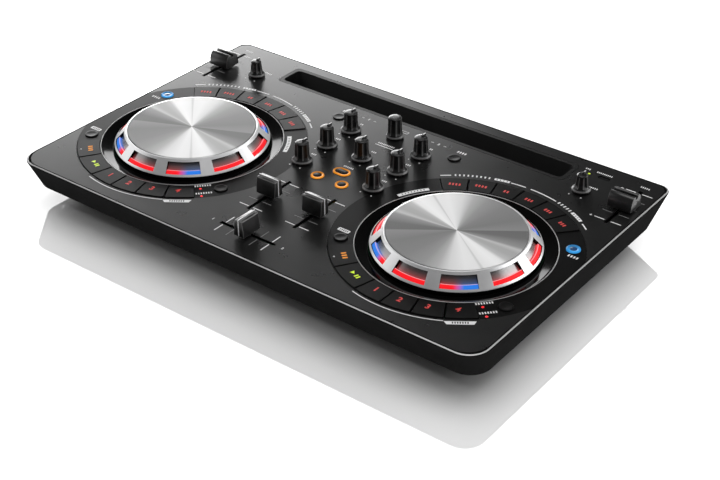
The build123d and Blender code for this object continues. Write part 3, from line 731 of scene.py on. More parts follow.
def deck_marks(side, sign):
    """White marks round a deck, printed on the panel and on the deck ring."""
    marks = [arc(side, MARK_R, 1.1, 126.5, 131.5), arc(side, MARK_R, 1.0, 91.2, 98.6),
             arc(side, MARK_R, 1.0, 74.0, 88.6), arc(side, MARK_R, 1.0, 48.3, 53.0),
             arc(side, 88.4, 0.7, 256.0, 299.0)]
    marks += arc_label(side, PLATE_LETTER_R, 124.5, 109.0, 9, 2.5)
    marks += arc_label(side, PLATE_LETTER_R, 72.2, 64.5, 5, 2.5)
    marks += [band(side, 89.6, 92.2, start, end) for start, end in ((99.4, 106.6), (55.0, 62.8))]
    trapezium = flat([(-10.2, 1.7), (10.2, 1.7), (8.6, -1.7), (-8.6, -1.7)])
    x, y = around_jog(side, 89.8, ARC_PLATE_DEG)
    marks.append(moved(trapezium, x, y, 0.0, ARC_PLATE_DEG + 90.0))
    pill_deg = PILL_DEG[side]
    marks.append(band(side, PILL_R - 1.6, PILL_R + 1.6, pill_deg - 9.5, pill_deg + 9.5))
    shift_x, shift_y = middle(f"{side}_shift_button")
    marks.append(plate(shift_x + SHIFT_PLATE_OFF[0], shift_y + SHIFT_PLATE_OFF[1], 9.6, 3.4, 0.6))
    for radius in LAMP_RADII:
        x, y = around_jog(side, radius, LAMP_DEG)
        marks.append(label(x - 1.6, y + 4.1, 7, 47.1, 2.1))
    sync_x, sync_y = middle(f"{side}_sync_button")
    marks.append(label(sync_x + 4.4 * sign, sync_y - 8.2, 4, 0.0, 2.5))
    load_x, load_y = middle(f"{side}_load_button")
    marks.append(label(load_x, load_y + 10.0, 4, 0.0, 2.5))
    return marks


def plate_letters(side):
    """Dark letter marks on the white plates."""
    high = PANEL_Z + INK
    marks = [label(*around_jog(side, 89.7, ARC_PLATE_DEG), 7, ARC_PLATE_DEG + 90.0, 1.9, high)]
    shift_x, shift_y = middle(f"{side}_shift_button")
    marks.append(label(shift_x + SHIFT_PLATE_OFF[0], shift_y + SHIFT_PLATE_OFF[1], 5, 0.0, 1.8, high))
    marks += arc_label(side, PILL_R + 0.05, PILL_DEG[side] - 6.6, PILL_DEG[side] + 6.6, 8, 1.5, high)
    for middle_deg in (103.0, 58.9):
        marks += arc_label(side, PLATE_LETTER_R, middle_deg - 2.4, middle_deg + 2.4, 4, 1.5, high)
    return marks


def mixer_marks():
    """Legends beside the knobs, and dots under them."""
    marks = []
    for side, sign in SIDES:
        for row, letters in (("high", 2), ("mid", 3), ("low", 3)):
            x, y = middle(f"{side}_{row}_knob")
            marks.append(label(x, y + KNOB_LEGEND_UP, letters, 0.0, 1.8))
            marks += knob_dots(x, y)
        x, y = middle(f"{side}_volume_knob")
        marks += knob_dots(x, y)
        marks.append(label(x + 5.0, y + 8.6, 5, 0.0, 1.8))
        marks.append(digit("1" if sign < 0 else "2", CHANNEL_DIGIT_X * sign, CHANNEL_DIGIT_Y, 3.4, PANEL_Z))
        marks += [label(CHANNEL_DIGIT_X * sign + off, CHANNEL_DIGIT_Y, 3, 0.0, 0.9) for off in (-5.6, 5.6)]
    x, y = middle("level_knob")
    marks += knob_dots(x, y)
    marks += [label(x + 1.0, y + KNOB_LEGEND_UP, 3, 0.0, 1.8), label(x + 2.0, y + 27.6, 10, 0.0, 1.8),
              ring_line(x + 2.0, y + 24.6, 16.0, 0.8, 0.35)]
    marks.append(label(0.0, middle("select_button")[1] + 8.1, 6, 0.0, 1.8))
    marks.append(ring_line(0.0, CHANNEL_DIGIT_Y, 9.0, 3.0, 0.4))
    return marks


def knob_dots(x, y):
    return [plate(x + off, y - 8.6, 1.1, 1.1, 0.35) for off in (-4.8, 4.8)]


def fader_marks(bright):
    """Tick lines each side of the fader slots: the end ones bright, those between them dim."""
    marks = []
    line = 0.8 if bright else 0.6
    channel = (-20.0, 40.0, 2) if bright else (-10.2, 20.2, 2)
    tempo = (-22.5, 45.0, 2) if bright else (-11.3, 11.3, 3)
    cross = (-20.65, 41.3, 2) if bright else (-10.35, 20.7, 2)
    scales = (("channel", channel, 6.1, 8.2), ("tempo", tempo, 6.4, 7.8))
    for side, _ in SIDES:
        for fader, (first, step, count), off, length in scales:
            x, y = middle(f"{side}_{fader}_fader")
            marks += [bars(x + off * sign, y + first, 0.0, step, count, length, line) for sign in (-1, 1)]
        if bright:
            # x and y are the tempo fader's here: minus and plus signs at its ends, and its name
            signs = ((22.5, 2.0, 0.6), (-22.5, 2.0, 0.6), (-22.5, 0.6, 2.0))
            marks += [bars(x - 13.1, y + up, 0.0, 0.0, 1, length, width) for up, length, width in signs]
            marks.append(label(x, y + 31.6, 5, 0.0, 1.8))
    x, y = middle("crossfader")
    for sign in (-1, 1):
        marks.append(bars(x + cross[0], y + 6.0 * sign, cross[1], 0.0, cross[2], line, 8.6))
        if bright:
            marks.append(digit("1" if sign < 0 else "2", x + 31.0 * sign, y, 3.0, PANEL_Z))
    if bright:
        x, y = middle("standby_button")
        marks += [label(x - 2.5, y + 5.3, 9, 0.0, 1.7), label(x - 16.0, y + 5.3, 3, 0.0, 1.7)]
    return marks


# ---- Pieces ----

def on_bevel(radius, lift):
    """A point on the jog wheel's bevel, lifted square to it."""
    steep = math.hypot(1.0, BEVEL_SLOPE)
    height = BEVEL_LOW_Z + (JOG_R - radius) * BEVEL_SLOPE
    return radius + lift * BEVEL_SLOPE / steep, height + lift / steep


def jog_wheel(side):
    """One closed shell with a bevelled wall, a ledge, a hub and hollow windows, and the strips in these."""
    centre, body = JOG[side], f"{side}_jog"
    pitch = 360 // WINDOW_COUNT
    first = (pitch - WINDOW_DEG) // 2
    low, ledge_r = box_mm(f"{side}_jog_wheel")[0].z, PLATE_R + 0.3
    outer = [(JOG_R - 0.3, low), (JOG_R, low + 0.3), (JOG_R, BEVEL_LOW_Z - 0.35),
             on_bevel(JOG_R - 0.03, 0.0), on_bevel(JOG_R - 0.35, 0.0), on_bevel(WINDOW_OUT_R, 0.0),
             on_bevel(WINDOW_IN_R, 0.0), on_bevel(BEVEL_TOP_R + 0.3, 0.0),
             (BEVEL_TOP_R - 0.05, BEVEL_TOP_Z + 0.1), (ledge_r + 0.25, BEVEL_TOP_Z + 0.2),
             (ledge_r, BEVEL_TOP_Z - 0.05)]
    # Under the disc: its seat, the hub with its bore, and the wheel's hollow underside
    seat_r, seat_z, bore_r, hub_r, hub_low = 44.0, 43.0, 3.08, 8.0, 38.0
    web_r, web_z, hollow_r, hollow_z = 49.6, 41.0, 55.2, 35.2
    inner = [(ledge_r, PLATE_LOW), (seat_r, PLATE_LOW), (seat_r, seat_z), (bore_r, seat_z), (bore_r, hub_low),
             (hub_r, hub_low), (hub_r, web_z), (web_r, web_z), (hollow_r, hollow_z), (hollow_r, low)]

    def in_window(row, k):
        return row == 5 and first <= k % pitch < first + WINDOW_DEG

    bm, rings = turned(outer + inner, centre, 360, loop=True, skip=in_window)
    backs, ends = [], []
    for start in range(first, 360, pitch):
        deep = []
        for radius in (WINDOW_OUT_R, WINDOW_IN_R):
            r, z = on_bevel(radius, -WINDOW_DEPTH)
            turns = [math.radians(start + k) for k in range(WINDOW_DEG + 1)]
            edge = [(centre[0] + r * math.cos(t), centre[1] + r * math.sin(t)) for t in turns]
            deep.append([vert(bm, x, y, z) for x, y in edge])
        levels = [[rings[5][(start + k) % 360] for k in range(WINDOW_DEG + 1)], deep[0], deep[1],
                  [rings[6][(start + k) % 360] for k in range(WINDOW_DEG + 1)]]
        for wall, (a, b) in enumerate(zip(levels, levels[1:])):
            faces = [bm.faces.new((a[k], a[k + 1], b[k + 1], b[k])) for k in range(WINDOW_DEG)]
            (backs if wall == 1 else ends).extend(faces)
        ends += [bm.faces.new([level[k] for level in levels]) for k in (0, WINDOW_DEG)]
    ends += [face for face in bm.faces if all(v.co.z < (BEVEL_LOW_Z - 0.3) * MM for v in face.verts)]
    for material, faces in ((1, backs), (2, ends)):
        for face in faces:
            face.material_index = material
    back = window_back(f"{side}_window_back", centre, bpy.context.scene.controller_colours)
    piece(f"{side}_jog_rim", bm, ["jog_silver", back, "well_gloss"], body,
          [f"{side}_jog_wheel"])

    section = [on_bevel(WINDOW_OUT_R - 0.05, -2.3), on_bevel(WINDOW_OUT_R - 0.05, -0.9),
               on_bevel(WINDOW_OUT_R - 0.4, -0.6), on_bevel(STRIP_IN_R + 0.28, -0.6),
               on_bevel(STRIP_IN_R, -0.85), on_bevel(STRIP_IN_R, -2.3)]
    strip = swept(section, -STRIP_HALF_DEG, STRIP_HALF_DEG)
    strips = around(strip, WINDOW_COUNT, centre, pitch / 2, pitch)
    light = strip_light(f"{side}_strip_light", centre, bpy.context.scene.controller_colours)
    piece(f"{side}_jog_light_strips", strips, light, body)


def jog_plate(side, painted_fan_lean_deg):
    """The brushed disc on top of the wheel."""
    edge = 0.35
    profile = [(0.0, PLATE_LOW), (PLATE_R, PLATE_LOW), (PLATE_R, PLATE_TOP - edge),
               (PLATE_R - edge, PLATE_TOP), (PLATE_R * 0.66, PLATE_TOP), (PLATE_R * 0.33, PLATE_TOP),
               (0.0, PLATE_TOP)]
    bm, _ = turned(profile, JOG[side], 180)
    disc = brushed_disc(f"{side}_brushed_disc", JOG[side], painted_fan_lean_deg)
    piece(f"{side}_jog_top", bm, disc, f"{side}_jog", [f"{side}_jog_plate"])


def deck_well(side):
    """The dished glossy ring round the jog wheel, and a grey wire along its outer edge, a painted highlight
    of that edge.
    """
    drop = 0.35
    start, end = (WELL_IN_R + 0.15, WELL_IN_Z + 0.05), (WELL_OUT_R - 1.2, PANEL_Z - 0.16)
    dish = [(start[0] + (end[0] - start[0]) * share, start[1] + (end[1] - start[1]) * share)
            for share in (0.0, 0.03, 0.97, 1.0)]
    profile = [(WELL_IN_R, WELL_IN_Z - drop), (WELL_IN_R, WELL_IN_Z - 0.1), *dish,
               (WELL_OUT_R + 0.1, PANEL_Z + 0.06), (WELL_OUT_R + 0.1, PANEL_Z - drop)]
    bm, _ = turned(profile, JOG[side], 240, loop=True)
    piece(f"{side}_deck_well", bm, "well_gloss", "chassis")
    # A grey wire along the well's outer edge: a painted highlight
    wire = 0.32
    points = [(WELL_OUT_R + 0.35 + wire * math.cos(t), PANEL_Z + 0.05 + wire * 0.8 * math.sin(t))
              for t in [math.tau * k / 10 for k in range(10)]]
    bm, _ = turned(points, JOG[side], 240, loop=True)
    piece(f"{side}_deck_hairline", bm, "hairline", "chassis")


def case_rim():
    """A grey line along the case's chamfered edge, all round the panel: a painted highlight of the edge."""
    low, high = box_mm("top_case")
    section = [(0.55, PANEL_Z - 0.5), (0.3, PANEL_Z - 0.25), (0.95, PANEL_Z + 0.03), (1.3, PANEL_Z + 0.03),
               (1.3, PANEL_Z - 0.5)]
    bm = bmesh.new()
    rings = []
    back_r, front_r, steps = 8.5, 16.0, 12
    corners = ((1, 1, back_r), (-1, 1, back_r), (-1, -1, front_r), (1, -1, front_r))
    for inset, z in section:
        ring = []
        for corner, (across, up, radius) in enumerate(corners):
            x = (high.x if across > 0 else low.x) - across * radius
            y = (high.y if up > 0 else low.y) - up * radius
            reach = radius - inset
            for k in range(steps + 1):
                turn = math.pi / 2 * (corner + k / steps)
                ring.append(vert(bm, x + reach * math.cos(turn), y + reach * math.sin(turn), z))
        rings.append(ring)
    for a, b in zip(rings, rings[1:] + rings[:1]):
        for k in range(len(a)):
            after = (k + 1) % len(a)
            bm.faces.new((a[k], a[after], b[after], b[k]))
    piece("case_rim", bm, "rim_satin", "chassis")


def knob(node, sizes):
    """A fluted knob on a wide skirt; all but the browse knob have a pointer ridge with a white line."""
    low, high = box_mm(node)
    x, y = middle(node)
    browse = node == "browse_knob"
    skirt = (high.x - low.x) / 2
    foot = PANEL_Z + 0.6
    top = high.z if browse else high.z - 1.0
    grip, crown = VOLUME_KNOB_RADII if "volume" in node else KNOB_RADII
    depth = sizes.flute_depth / MM
    count = sizes.flute_count

    def flute(r, z, turn):
        """Hollow flutes with narrow ridges between them, fading out at both ends of the grip."""
        fade = min(1.0, max(0.0, (z - foot - 3.0) / 1.6)) * min(1.0, max(0.0, (top - 0.7 - z) / 0.5))
        across = 2.0 * ((turn - math.pi / 2) * count / math.tau % 1.0) - 1.0
        return r - depth * fade * (1.0 - across * across) if r > 3.5 else r

    rows = 6
    climb = [(grip + (crown - grip) * k / rows, foot + 4.4 + (top - 1.2 - foot - 4.4) * k / rows)
             for k in range(rows + 1)]
    profile = [(0.0, low.z), (3.0, low.z), (3.0, foot), (skirt - 0.3, foot), (skirt, foot + 0.3),
               (skirt, foot + 1.3), (skirt - 0.2, foot + 1.65), (skirt - 0.9, foot + 2.3),
               (grip + 0.45, foot + 3.1), *climb, (crown - 0.1, top - 0.7), (crown - 0.4, top - 0.3),
               (crown - 1.0, top - 0.06), (2.4, top), (0.0, top)]
    steps = count * FLUTE_FACES
    bm, _ = turned(profile, (x, y), steps, flute=flute)
    first_grip_row, shoulder_rows = profile.index(climb[0]) - 1, (5, 6)
    # Ridge crests and the skirt's shoulder rows take the lighter grey of painted highlights
    for place, face in enumerate(bm.faces):
        row, k = divmod(place, steps)
        on_grip = first_grip_row <= row < first_grip_row + len(climb)
        if (on_grip and k % FLUTE_FACES in (0, FLUTE_FACES - 1)) or row in shoulder_rows:
            face.material_index = 1
    parts = [bm]
    if not browse:
        ridge = block(-0.7, 0.7, 0.8, crown + 0.45, top - 2.6, top + 0.95)
        parts.append(moved(rounded(ridge, 0.25), x, y))
    piece(f"{node}_cap", joined(parts), ["knob_gloss", "ridge_satin"], node, [node])
    if not browse:
        tip = joined([block(-0.4, 0.4, 2.6, crown + 0.4, top + 0.9, top + 1.0),
                      block(-0.4, 0.4, crown + 0.4, crown + 0.5, top - 2.2, top + 1.0)])
        piece(f"{node}_line", moved(tip, x, y), "print_white", node)


def fader_stem(low):
    return block(-STEM_HALF_WIDTH, STEM_HALF_WIDTH, -STEM_HALF_LENGTH, STEM_HALF_LENGTH, low, CAP_FOOT + 0.5)


def fader_cap(node, along):
    """A narrow cap that leans in to a sharp crest, with a white line over the crest and down both ends."""
    low, high = box_mm(node)
    x, y = middle(node)
    half = max(high.x - low.x, high.y - low.y) / 2
    top = high.z
    outline = [(-4.5, CAP_FOOT), (4.5, CAP_FOOT), (3.25, top - 1.1), (2.5, top - 0.75), (1.0, top - 0.75),
               (0.65, top - 0.05), (-0.65, top - 0.05), (-1.0, top - 0.75), (-2.5, top - 0.75),
               (-3.25, top - 1.1)]
    # The cap's rounded edges take the lighter grey of painted highlights
    cap = rounded(extruded(outline, -half, half, "x"), 0.45, 40.0, 1)
    turn = 90.0 if along == "x" else 0.0
    body = moved(joined([cap, fader_stem(low.z)]), x, y, 0.0, turn)
    piece(f"{node}_cap", body, ["fader_plastic", "ridge_satin"], node, [node])
    line, proud = 0.38, 0.04
    over = joined([block(-half - proud, half + proud, -line, line, top - 0.1, top),
                   block(-half - proud, -half + 0.1, -line, line, CAP_FOOT + 0.8, top - 0.05),
                   block(half - 0.1, half + proud, -line, line, CAP_FOOT + 0.8, top - 0.05)])
    piece(f"{node}_line", moved(over, x, y, 0.0, turn), "print_white", node)


def tempo_cap(node):
    """A wide cap: two rounded ridges with a groove between them."""
    low, high = box_mm(node)
    x, y = middle(node)
    half, top = (high.x - low.x) / 2, high.z
    reach, lip, crest, groove = 7.2, CAP_FOOT + 1.2, 3.0, 1.6
    steps = 8
    slope = []
    for k in range(steps):
        turn = math.pi / 2 * k / steps
        slope.append((crest + (reach - crest) * math.sin(turn) ** 1.15,
                      lip + (top - lip) * math.cos(turn) ** 0.8))
    right = [(groove, top - 2.6), (groove, top - 0.35), (groove + 0.35, top - 0.02), *slope, (reach, lip),
             (reach, CAP_FOOT)]
    outline = right + [(-a, b) for a, b in reversed(right)]
    # The cap's rounded edges take the lighter grey of painted highlights
    cap = rounded(extruded(outline, -half, half, "x"), 0.3, 40.0, 1)
    body = moved(joined([cap, fader_stem(low.z)]), x, y)
    piece(f"{node}_cap", body, ["fader_plastic", "ridge_satin"], node, [node])


def button(node, kind, colours):
    """A small push button with a dished top; a lit one has a glowing ring round a dark middle."""
    low, high = box_mm(node)
    x, y = middle(node)
    width, length = high.y - low.y, high.x - low.x
    reach, stretch = width / 2, max(0.0, (length - width) / 2)
    top, bottom = high.z, PANEL_Z - 3.0
    if kind == "plain":
        profile = [(0.0, bottom), (reach, bottom), (reach, top - 0.3), (reach - 0.12, top - 0.08),
                   (reach - 0.35, top), (reach - 1.2, top - 0.03), (reach - 2.2, top - 0.16),
                   (reach - 3.2, top - 0.24), (0.0, top - 0.28)]
        bm, _ = turned(profile, (x, y), 72, stretch=stretch)
        piece(f"{node}_cap", bm, "button_gloss", node, [node])
        return
    inner = reach * (0.52 if kind == "blue" else 0.66)
    ring = [(inner, bottom), (reach, bottom), (reach, top - 0.5), (reach - 0.12, top - 0.2),
            (reach - 0.45, top), (inner + 0.45, top - 0.05), (inner, top - 0.35)]
    bm, _ = turned(ring, (x, y), 72, loop=True, stretch=stretch)
    colour = tuple(colours.blue_ring if kind == "blue" else colours.orange)
    glow = ring_lamp(f"{node}_glow", (x, y), reach + stretch, colour, 1.1 if kind == "blue" else 0.9)
    piece(f"{node}_ring", bm, glow, node, [node])
    dome = [(0.0, bottom), (inner - 0.03, bottom), (inner - 0.03, top - 0.35), (inner - 0.5, top - 0.3),
            (inner * 0.6, top - 0.12), (inner * 0.25, top - 0.02), (0.0, top)]
    bm, _ = turned(dome, (x, y), 72, stretch=stretch)
    piece(f"{node}_middle", bm, "sync_middle" if kind == "blue" else "button_gloss", node)


def indicators():
    """Small domed lamps: two beside each mode button and one beside the standby button."""
    dome = [(0.0, PANEL_Z - 0.5), (0.95, PANEL_Z - 0.5), (0.95, PANEL_Z + 0.1), (0.7, PANEL_Z + 0.3),
            (0.35, PANEL_Z + 0.42), (0.0, PANEL_Z + 0.45)]
    for side, _ in SIDES:
        lamps = [turned(dome, around_jog(side, radius, LAMP_DEG), 20)[0] for radius in LAMP_RADII]
        piece(f"{side}_mode_lamps", joined(lamps), "lit_red", "chassis")
    x, y = middle("standby_button")
    piece("standby_lamp", turned(dome, (x - 12.1, y - 0.3), 20)[0], "lit_green", "chassis")


def key_legends(side):
    """Coloured legends on the keys; each rides on its own key."""
    for number, deg in enumerate(PAD_DEGS, 1):
        mark = digit(str(number), *around_jog(side, 76.5, deg), 6.4, KEY_Z, 0.2 * (deg - 270.0))
        piece(f"{side}_pad_{number}_legend", mark, "legend_red", f"{side}_pad_{number}")
    marks = []
    for deg, letters in zip(UPPER_KEY_DEGS, (3, 3, 3, 2, 4, 4)):
        x, y = around_jog(side, KEY_MID_R, deg)
        marks.append(label(x, y, letters, 0.7 * (deg - 90.0), 2.8, KEY_Z))
    piece(f"{side}_upper_legends", joined(marks), "legend_red", f"{side}_upper_keys")
    x, y = around_jog(side, 76.0, CUE_DEG)
    piece(f"{side}_cue_legend", label(x, y, 3, -41.3, 3.4, KEY_Z), "legend_orange", f"{side}_cue")
    icon = digit("+", *around_jog(side, 83.0, CUE_DEG), 2.6, KEY_Z)
    piece(f"{side}_cue_icon", icon, "print_white", f"{side}_cue")
    x, y = around_jog(side, KEY_MID_R, PLAY_DEG)
    play = [flat([(-4.73, -1.7), (-1.5, 0.0), (-4.73, 1.7)], KEY_Z)]
    play += [block(left, left + 1.3, -1.6, 1.6, KEY_Z - INK, KEY_Z + INK) for left in (0.2, 2.5)]
    piece(f"{side}_play_legend", moved(joined(play), x, y, 0.0, -23.1), "lit_green", f"{side}_play")


def key_edges(side):
    """Painted shadow of the gaps: dark lines along the keys' straight edges, each on its own key."""
    def line(deg, across):
        """A radial line beside the gap at that angle; across is its side and distance in degrees."""
        start, end = sorted((deg + across * 0.22, deg + across * 0.48))
        return band(side, KEY_IN_R, KEY_OUT_R, start, end, KEY_Z)

    gaps = (None, *LOWER_GAP_DEGS, None)
    for key, start, end in zip(("cue", "play", "pad_1", "pad_2", "pad_3", "pad_4"), gaps, gaps[1:]):
        lines = [line(deg, across) for deg, across in ((start, 1), (end, -1)) if deg]
        piece(f"{side}_{key}_edges", joined(lines), "gap_black", f"{side}_{key}")
    inner = [deg + 7 for deg in UPPER_KEY_DEGS[:-1]]
    lines = [line(deg, across) for deg in inner for across in (-1, 1)]
    piece(f"{side}_upper_edges", joined(lines), "gap_black", f"{side}_upper_keys")


# ---- Stage ----

def light(name, toward, distance, size, power, only=None):
    """A soft light on that bearing from the object's middle, facing it; it may light one thing only."""
    data = bpy.data.lights.new(name, "AREA")
    data.shape = "RECTANGLE"
    data.size, data.size_y = size
    data.energy = power
    holder = bpy.data.objects.new(name, data)
    bpy.context.scene.collection.objects.link(holder)
    bearing = Vector(toward).normalized()
    holder.location = bearing * distance
    holder.rotation_euler = bearing.to_track_quat("Z", "Y").to_euler()
    holder.visible_camera = False
    if only:
        lit = bpy.data.collections.new(name)
        lit.objects.link(only)
        holder.light_linking.receiver_collection = lit


def surroundings(level):
    """A pale studio that is darker overhead."""
    world = bpy.data.worlds.new("surroundings")
    world.use_nodes = True
    nodes, links = world.node_tree.nodes, world.node_tree.links
    parts = nodes.new("ShaderNodeSeparateXYZ")
    links.new(nodes.new("ShaderNodeTexCoord").outputs["Generated"], parts.inputs[0])
    fade = nodes.new("ShaderNodeValToRGB")
    set_stops(fade.color_ramp, ((0.0, level), (0.3, level), (0.7, level * 0.5), (1.0, level * 0.5)))
    links.new(parts.outputs["Z"], fade.inputs[0])
    links.new(fade.outputs[0], nodes["Background"].inputs["Color"])
    return world


def floor(shade, gloss):
    """A pale floor just under the feet, with a faint mirror image."""
    reach = 6.0
    mesh = bpy.data.meshes.new("floor")
    corners = [(-reach, -reach, 0), (reach, -reach, 0), (reach, reach, 0), (-reach, reach, 0)]
    mesh.from_pydata(corners, [], [(0, 1, 2, 3)])
    thing = bpy.data.objects.new("floor", mesh)
    bpy.context.scene.collection.objects.link(thing)
    thing.location.z = CAD_BOX[0][2] - 0.0002
    finish = Finish("floor", {"Specular IOR Level": 0.0, "Roughness": 0.8, "Base Color": grey(shade)})
    mirror = finish.node("ShaderNodeBsdfGlossy", None, {"Roughness": 0.03, "Color": grey(1.0)})
    both = finish.node("ShaderNodeMixShader", None,
                       {0: gloss, 1: finish.shader.outputs[0], 2: mirror.outputs[0]})
    finish.tree.links.new(both.outputs[0], finish.tree.nodes["Material Output"].inputs[0])
    mesh.materials.append(finish.material)
    return thing


def camera(settings):
    """The camera at its place, turned by its bearing, height angle and tilt."""
    across, up = settings.azimuth, settings.elevation
    back = Vector((math.sin(across) * math.cos(up), -math.cos(across) * math.cos(up), math.sin(up)))
    right = Vector((math.cos(across), math.sin(across), 0.0))
    frame_matrix = Matrix((right, back.cross(right), back)).transposed().to_4x4()
    data = bpy.data.cameras.new("camera")
    data.lens = settings.lens
    data.sensor_width = 36.0
    holder = bpy.data.objects.new("camera", data)
    bpy.context.scene.collection.objects.link(holder)
    roll = Matrix.Rotation(settings.roll, 4, "Z")
    holder.matrix_world = Matrix.Translation(settings.place) @ frame_matrix @ roll
    bpy.context.scene.camera = holder


# ---- Settings ----

class ControllerStage(bpy.types.PropertyGroup):
    azimuth: bpy.props.FloatProperty(name="Azimuth", description="Camera bearing from the front",
                                     default=math.radians(37.46), subtype="ANGLE", unit="ROTATION")
    elevation: bpy.props.FloatProperty(name="Elevation", description="Camera height angle",
                                       default=math.radians(32.77), subtype="ANGLE", unit="ROTATION")
    roll: bpy.props.FloatProperty(name="Roll", description="Camera tilt", default=math.radians(-0.12),
                                  subtype="ANGLE", unit="ROTATION")
    lens: bpy.props.FloatProperty(name="Lens", description="Focal length", default=72.45, unit="CAMERA")
    place: bpy.props.FloatVectorProperty(name="Camera place", description="Where the camera stands",
                                         default=(0.5622, -0.7096, 0.5620), subtype="TRANSLATION",
                                         unit="LENGTH")
    key_power: bpy.props.FloatProperty(name="Key light", description="Low light behind the left corner",
                                       default=20.0, unit="POWER")
    top_power: bpy.props.FloatProperty(name="Top light", description="Wide light overhead", default=12.0,
                                       unit="POWER")
    side_power: bpy.props.FloatProperty(name="Side light", description="Light on the left", default=10.0,
                                        unit="POWER")
    rim_power: bpy.props.FloatProperty(name="Rim light", description="Light behind the right corner",
                                       default=10.0, unit="POWER")
    floor_power: bpy.props.FloatProperty(name="Floor light",
                                         description="Overhead light for the floor alone", default=46.0,
                                         unit="POWER")
    card_power: bpy.props.FloatProperty(name="Floor card",
                                        description="White card that the floor alone mirrors", default=88.0,
                                        unit="POWER")
    world: bpy.props.FloatProperty(name="Surroundings", description="Brightness near the horizon",
                                   default=0.14)
    floor_shade: bpy.props.FloatProperty(name="Floor", description="Paleness of the floor", default=0.92)
    floor_gloss: bpy.props.FloatProperty(name="Floor gloss", description="Share of mirror image",
                                         default=0.42)


class ControllerSizes(bpy.types.PropertyGroup):
    flute_count: bpy.props.IntProperty(name="Flutes", description="Hollows round a knob's grip", default=8)
    flute_depth: bpy.props.FloatProperty(name="Flute depth", description="Depth of a hollow", default=0.0008,
                                         precision=5, subtype="DISTANCE", unit="LENGTH")
    # Turn of the painted highlight fans on the left disc; the right disc's fans are not turned
    disc_lean: bpy.props.FloatProperty(name="Disc lean", description="Turn of the left disc's fans",
                                       default=math.radians(-12.0), subtype="ANGLE", unit="ROTATION")


class ControllerColours(bpy.types.PropertyGroup):
    red: bpy.props.FloatVectorProperty(name="Red light", description="Main colour of the jog lights",
                                       default=(1.0, 0.008, 0.015), subtype="COLOR")
    blue: bpy.props.FloatVectorProperty(name="Blue light", description="Second colour of the jog lights",
                                        default=(0.02, 0.2, 0.8), subtype="COLOR")
    blue_ring: bpy.props.FloatVectorProperty(name="Sync ring", description="Ring of the sync button",
                                             default=(0.03, 0.26, 0.6), subtype="COLOR")
    orange: bpy.props.FloatVectorProperty(name="Orange", description="Rings and legends that glow orange",
                                          default=(0.85, 0.3, 0.02), subtype="COLOR")
    green: bpy.props.FloatVectorProperty(name="Green", description="Play legend and standby lamp",
                                         default=(0.45, 0.6, 0.01), subtype="COLOR")
    legend: bpy.props.FloatVectorProperty(name="Legend red", description="Legends on the keys",
                                          default=(0.6, 0.05, 0.045), subtype="COLOR")


# ---- Operators ----

class CONTROLLER_OT_stage(bpy.types.Operator):
    """Camera, lights, surroundings and floor"""
    bl_idname = "controller.stage"
    bl_label = "Stage"

    def execute(self, context):
        settings = context.scene.controller_stage
        camera(settings)
        ground = floor(settings.floor_shade, settings.floor_gloss)
        light("key_light", (-0.755, 0.656, 0.225), 1.7, (1.1, 0.68), settings.key_power)
        light("top_light", (0.0, 0.1, 1.0), 1.6, (1.2, 1.2), settings.top_power)
        light("rim_light", (0.75, 0.65, 0.40), 1.4, (1.3, 0.9), settings.rim_power)
        light("side_light", (-0.9, -0.35, 0.35), 2.4, (1.9, 1.3), settings.side_power)
        light("floor_wash", (0.0, 0.0, 1.0), 2.2, (3.0, 3.0), settings.floor_power, ground)
        light("floor_card", (-0.60, 0.80, 0.58), 3.0, (6.0, 3.6), settings.card_power, ground)
        context.scene.world = surroundings(settings.world)
        context.scene.view_settings.view_transform = "Standard"
        return {"FINISHED"}


class CONTROLLER_OT_finishes(bpy.types.Operator):
    """Materials, also given to every CAD node by its slot in the record"""
    bl_idname = "controller.finishes"
    bl_label = "Finishes"

    def execute(self, context):
        FINISHES.update(make_finishes(context.scene.controller_colours))
        TREES.update(around=around_tree(), row=row_tree())
        for part in frame["record"]["subparts"]:
            thing = frame["nodes"][part["node"]]
            finish = FINISHES.get(part["material_slot"], FINISHES["case_plastic"])
            if not thing.material_slots:
                thing.data.materials.append(finish)
            for slot in thing.material_slots:
                slot.material = finish
        return {"FINISHED"}


class CONTROLLER_OT_jogs(bpy.types.Operator):
    """Jog wheels with their windows and lights, brushed discs and glossy wells"""
    bl_idname = "controller.jogs"
    bl_label = "Jog wheels"

    def execute(self, context):
        lean = math.degrees(context.scene.controller_sizes.disc_lean)
        for side, sign in SIDES:
            jog_wheel(side)
            # Only the left disc's painted highlight fans are turned
            jog_plate(side, lean if sign < 0 else 0.0)
            deck_well(side)
        case_rim()
        return {"FINISHED"}


class CONTROLLER_OT_knobs(bpy.types.Operator):
    """Fluted knobs with their pointers"""
    bl_idname = "controller.knobs"
    bl_label = "Knobs"

    def execute(self, context):
        for node in frame["nodes"]:
            if node.endswith("_knob"):
                knob(node, context.scene.controller_sizes)
        return {"FINISHED"}


class CONTROLLER_OT_faders(bpy.types.Operator):
    """Fader caps and the wide tempo caps"""
    bl_idname = "controller.faders"
    bl_label = "Faders"

    def execute(self, context):
        fader_cap("crossfader", "x")
        for side, _ in SIDES:
            fader_cap(f"{side}_channel_fader", "y")
            tempo_cap(f"{side}_tempo_fader")
        return {"FINISHED"}


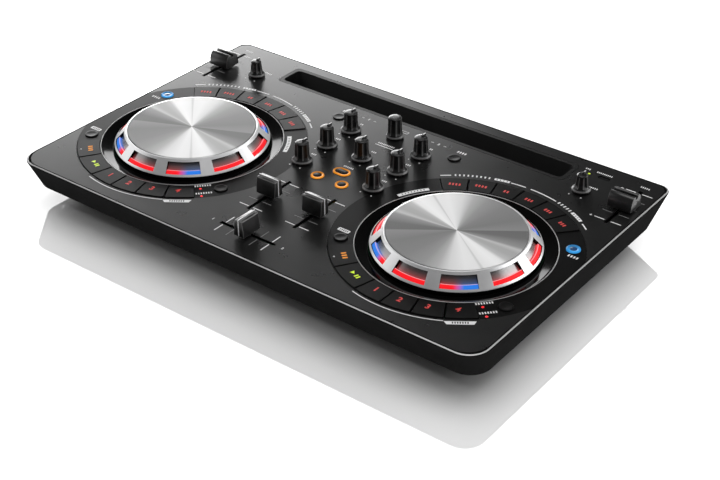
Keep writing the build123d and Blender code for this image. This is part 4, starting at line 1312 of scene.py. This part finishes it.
class CONTROLLER_OT_buttons(bpy.types.Operator):
    """Push buttons, their lit rings and the indicator lamps"""
    bl_idname = "controller.buttons"
    bl_label = "Buttons"

    def execute(self, context):
        colours = context.scene.controller_colours
        for side, _ in SIDES:
            for name, kind in (("sync", "blue"), ("shift", "plain"), ("mode", "plain"), ("load", "plain"),
                               ("phones_cue", "orange")):
                button(f"{side}_{name}_button", kind, colours)
        button("select_button", "orange", colours)
        indicators()
        return {"FINISHED"}


class CONTROLLER_OT_marks(bpy.types.Operator):
    """Printed scales, legends and outlines, and painted gap shadows along the keys"""
    bl_idname = "controller.marks"
    bl_label = "Marks"

    def execute(self, context):
        for side, sign in SIDES:
            piece(f"{side}_deck_print", joined(deck_marks(side, sign)), "print_white", "chassis")
            piece(f"{side}_plate_letters", joined(plate_letters(side)), "panel_satin", "chassis")
            key_legends(side)
            key_edges(side)
        piece("mixer_print", joined(mixer_marks()), "print_white", "chassis")
        piece("fader_ticks_bright", joined(fader_marks(True)), "print_white", "chassis")
        piece("fader_ticks_dim", joined(fader_marks(False)), "print_dim", "chassis")
        return {"FINISHED"}


class CONTROLLER_PT_panel(bpy.types.Panel):
    """Lists the steps that build the controller"""
    bl_idname = "CONTROLLER_PT_panel"
    bl_label = "DJ controller"
    bl_space_type = "VIEW_3D"
    bl_region_type = "UI"
    bl_category = "Controller"

    def draw(self, context):
        for step in STEPS:
            self.layout.operator(step.bl_idname)


STEPS = (CONTROLLER_OT_stage, CONTROLLER_OT_finishes, CONTROLLER_OT_jogs, CONTROLLER_OT_knobs,
         CONTROLLER_OT_faders, CONTROLLER_OT_buttons, CONTROLLER_OT_marks)
GROUPS = {"controller_stage": ControllerStage, "controller_sizes": ControllerSizes,
          "controller_colours": ControllerColours}


def register():
    for group in (*GROUPS.values(), *STEPS, CONTROLLER_PT_panel):
        bpy.utils.register_class(group)
    for name, group in GROUPS.items():
        setattr(bpy.types.Scene, name, bpy.props.PointerProperty(type=group))


def unregister():
    for name in GROUPS:
        delattr(bpy.types.Scene, name)
    for group in reversed((*GROUPS.values(), *STEPS, CONTROLLER_PT_panel)):
        bpy.utils.unregister_class(group)


def main():
    register()
    for step in STEPS:
        family, name = step.bl_idname.split(".")
        getattr(getattr(bpy.ops, family), name)()


if __name__ == "__main__":
    main()
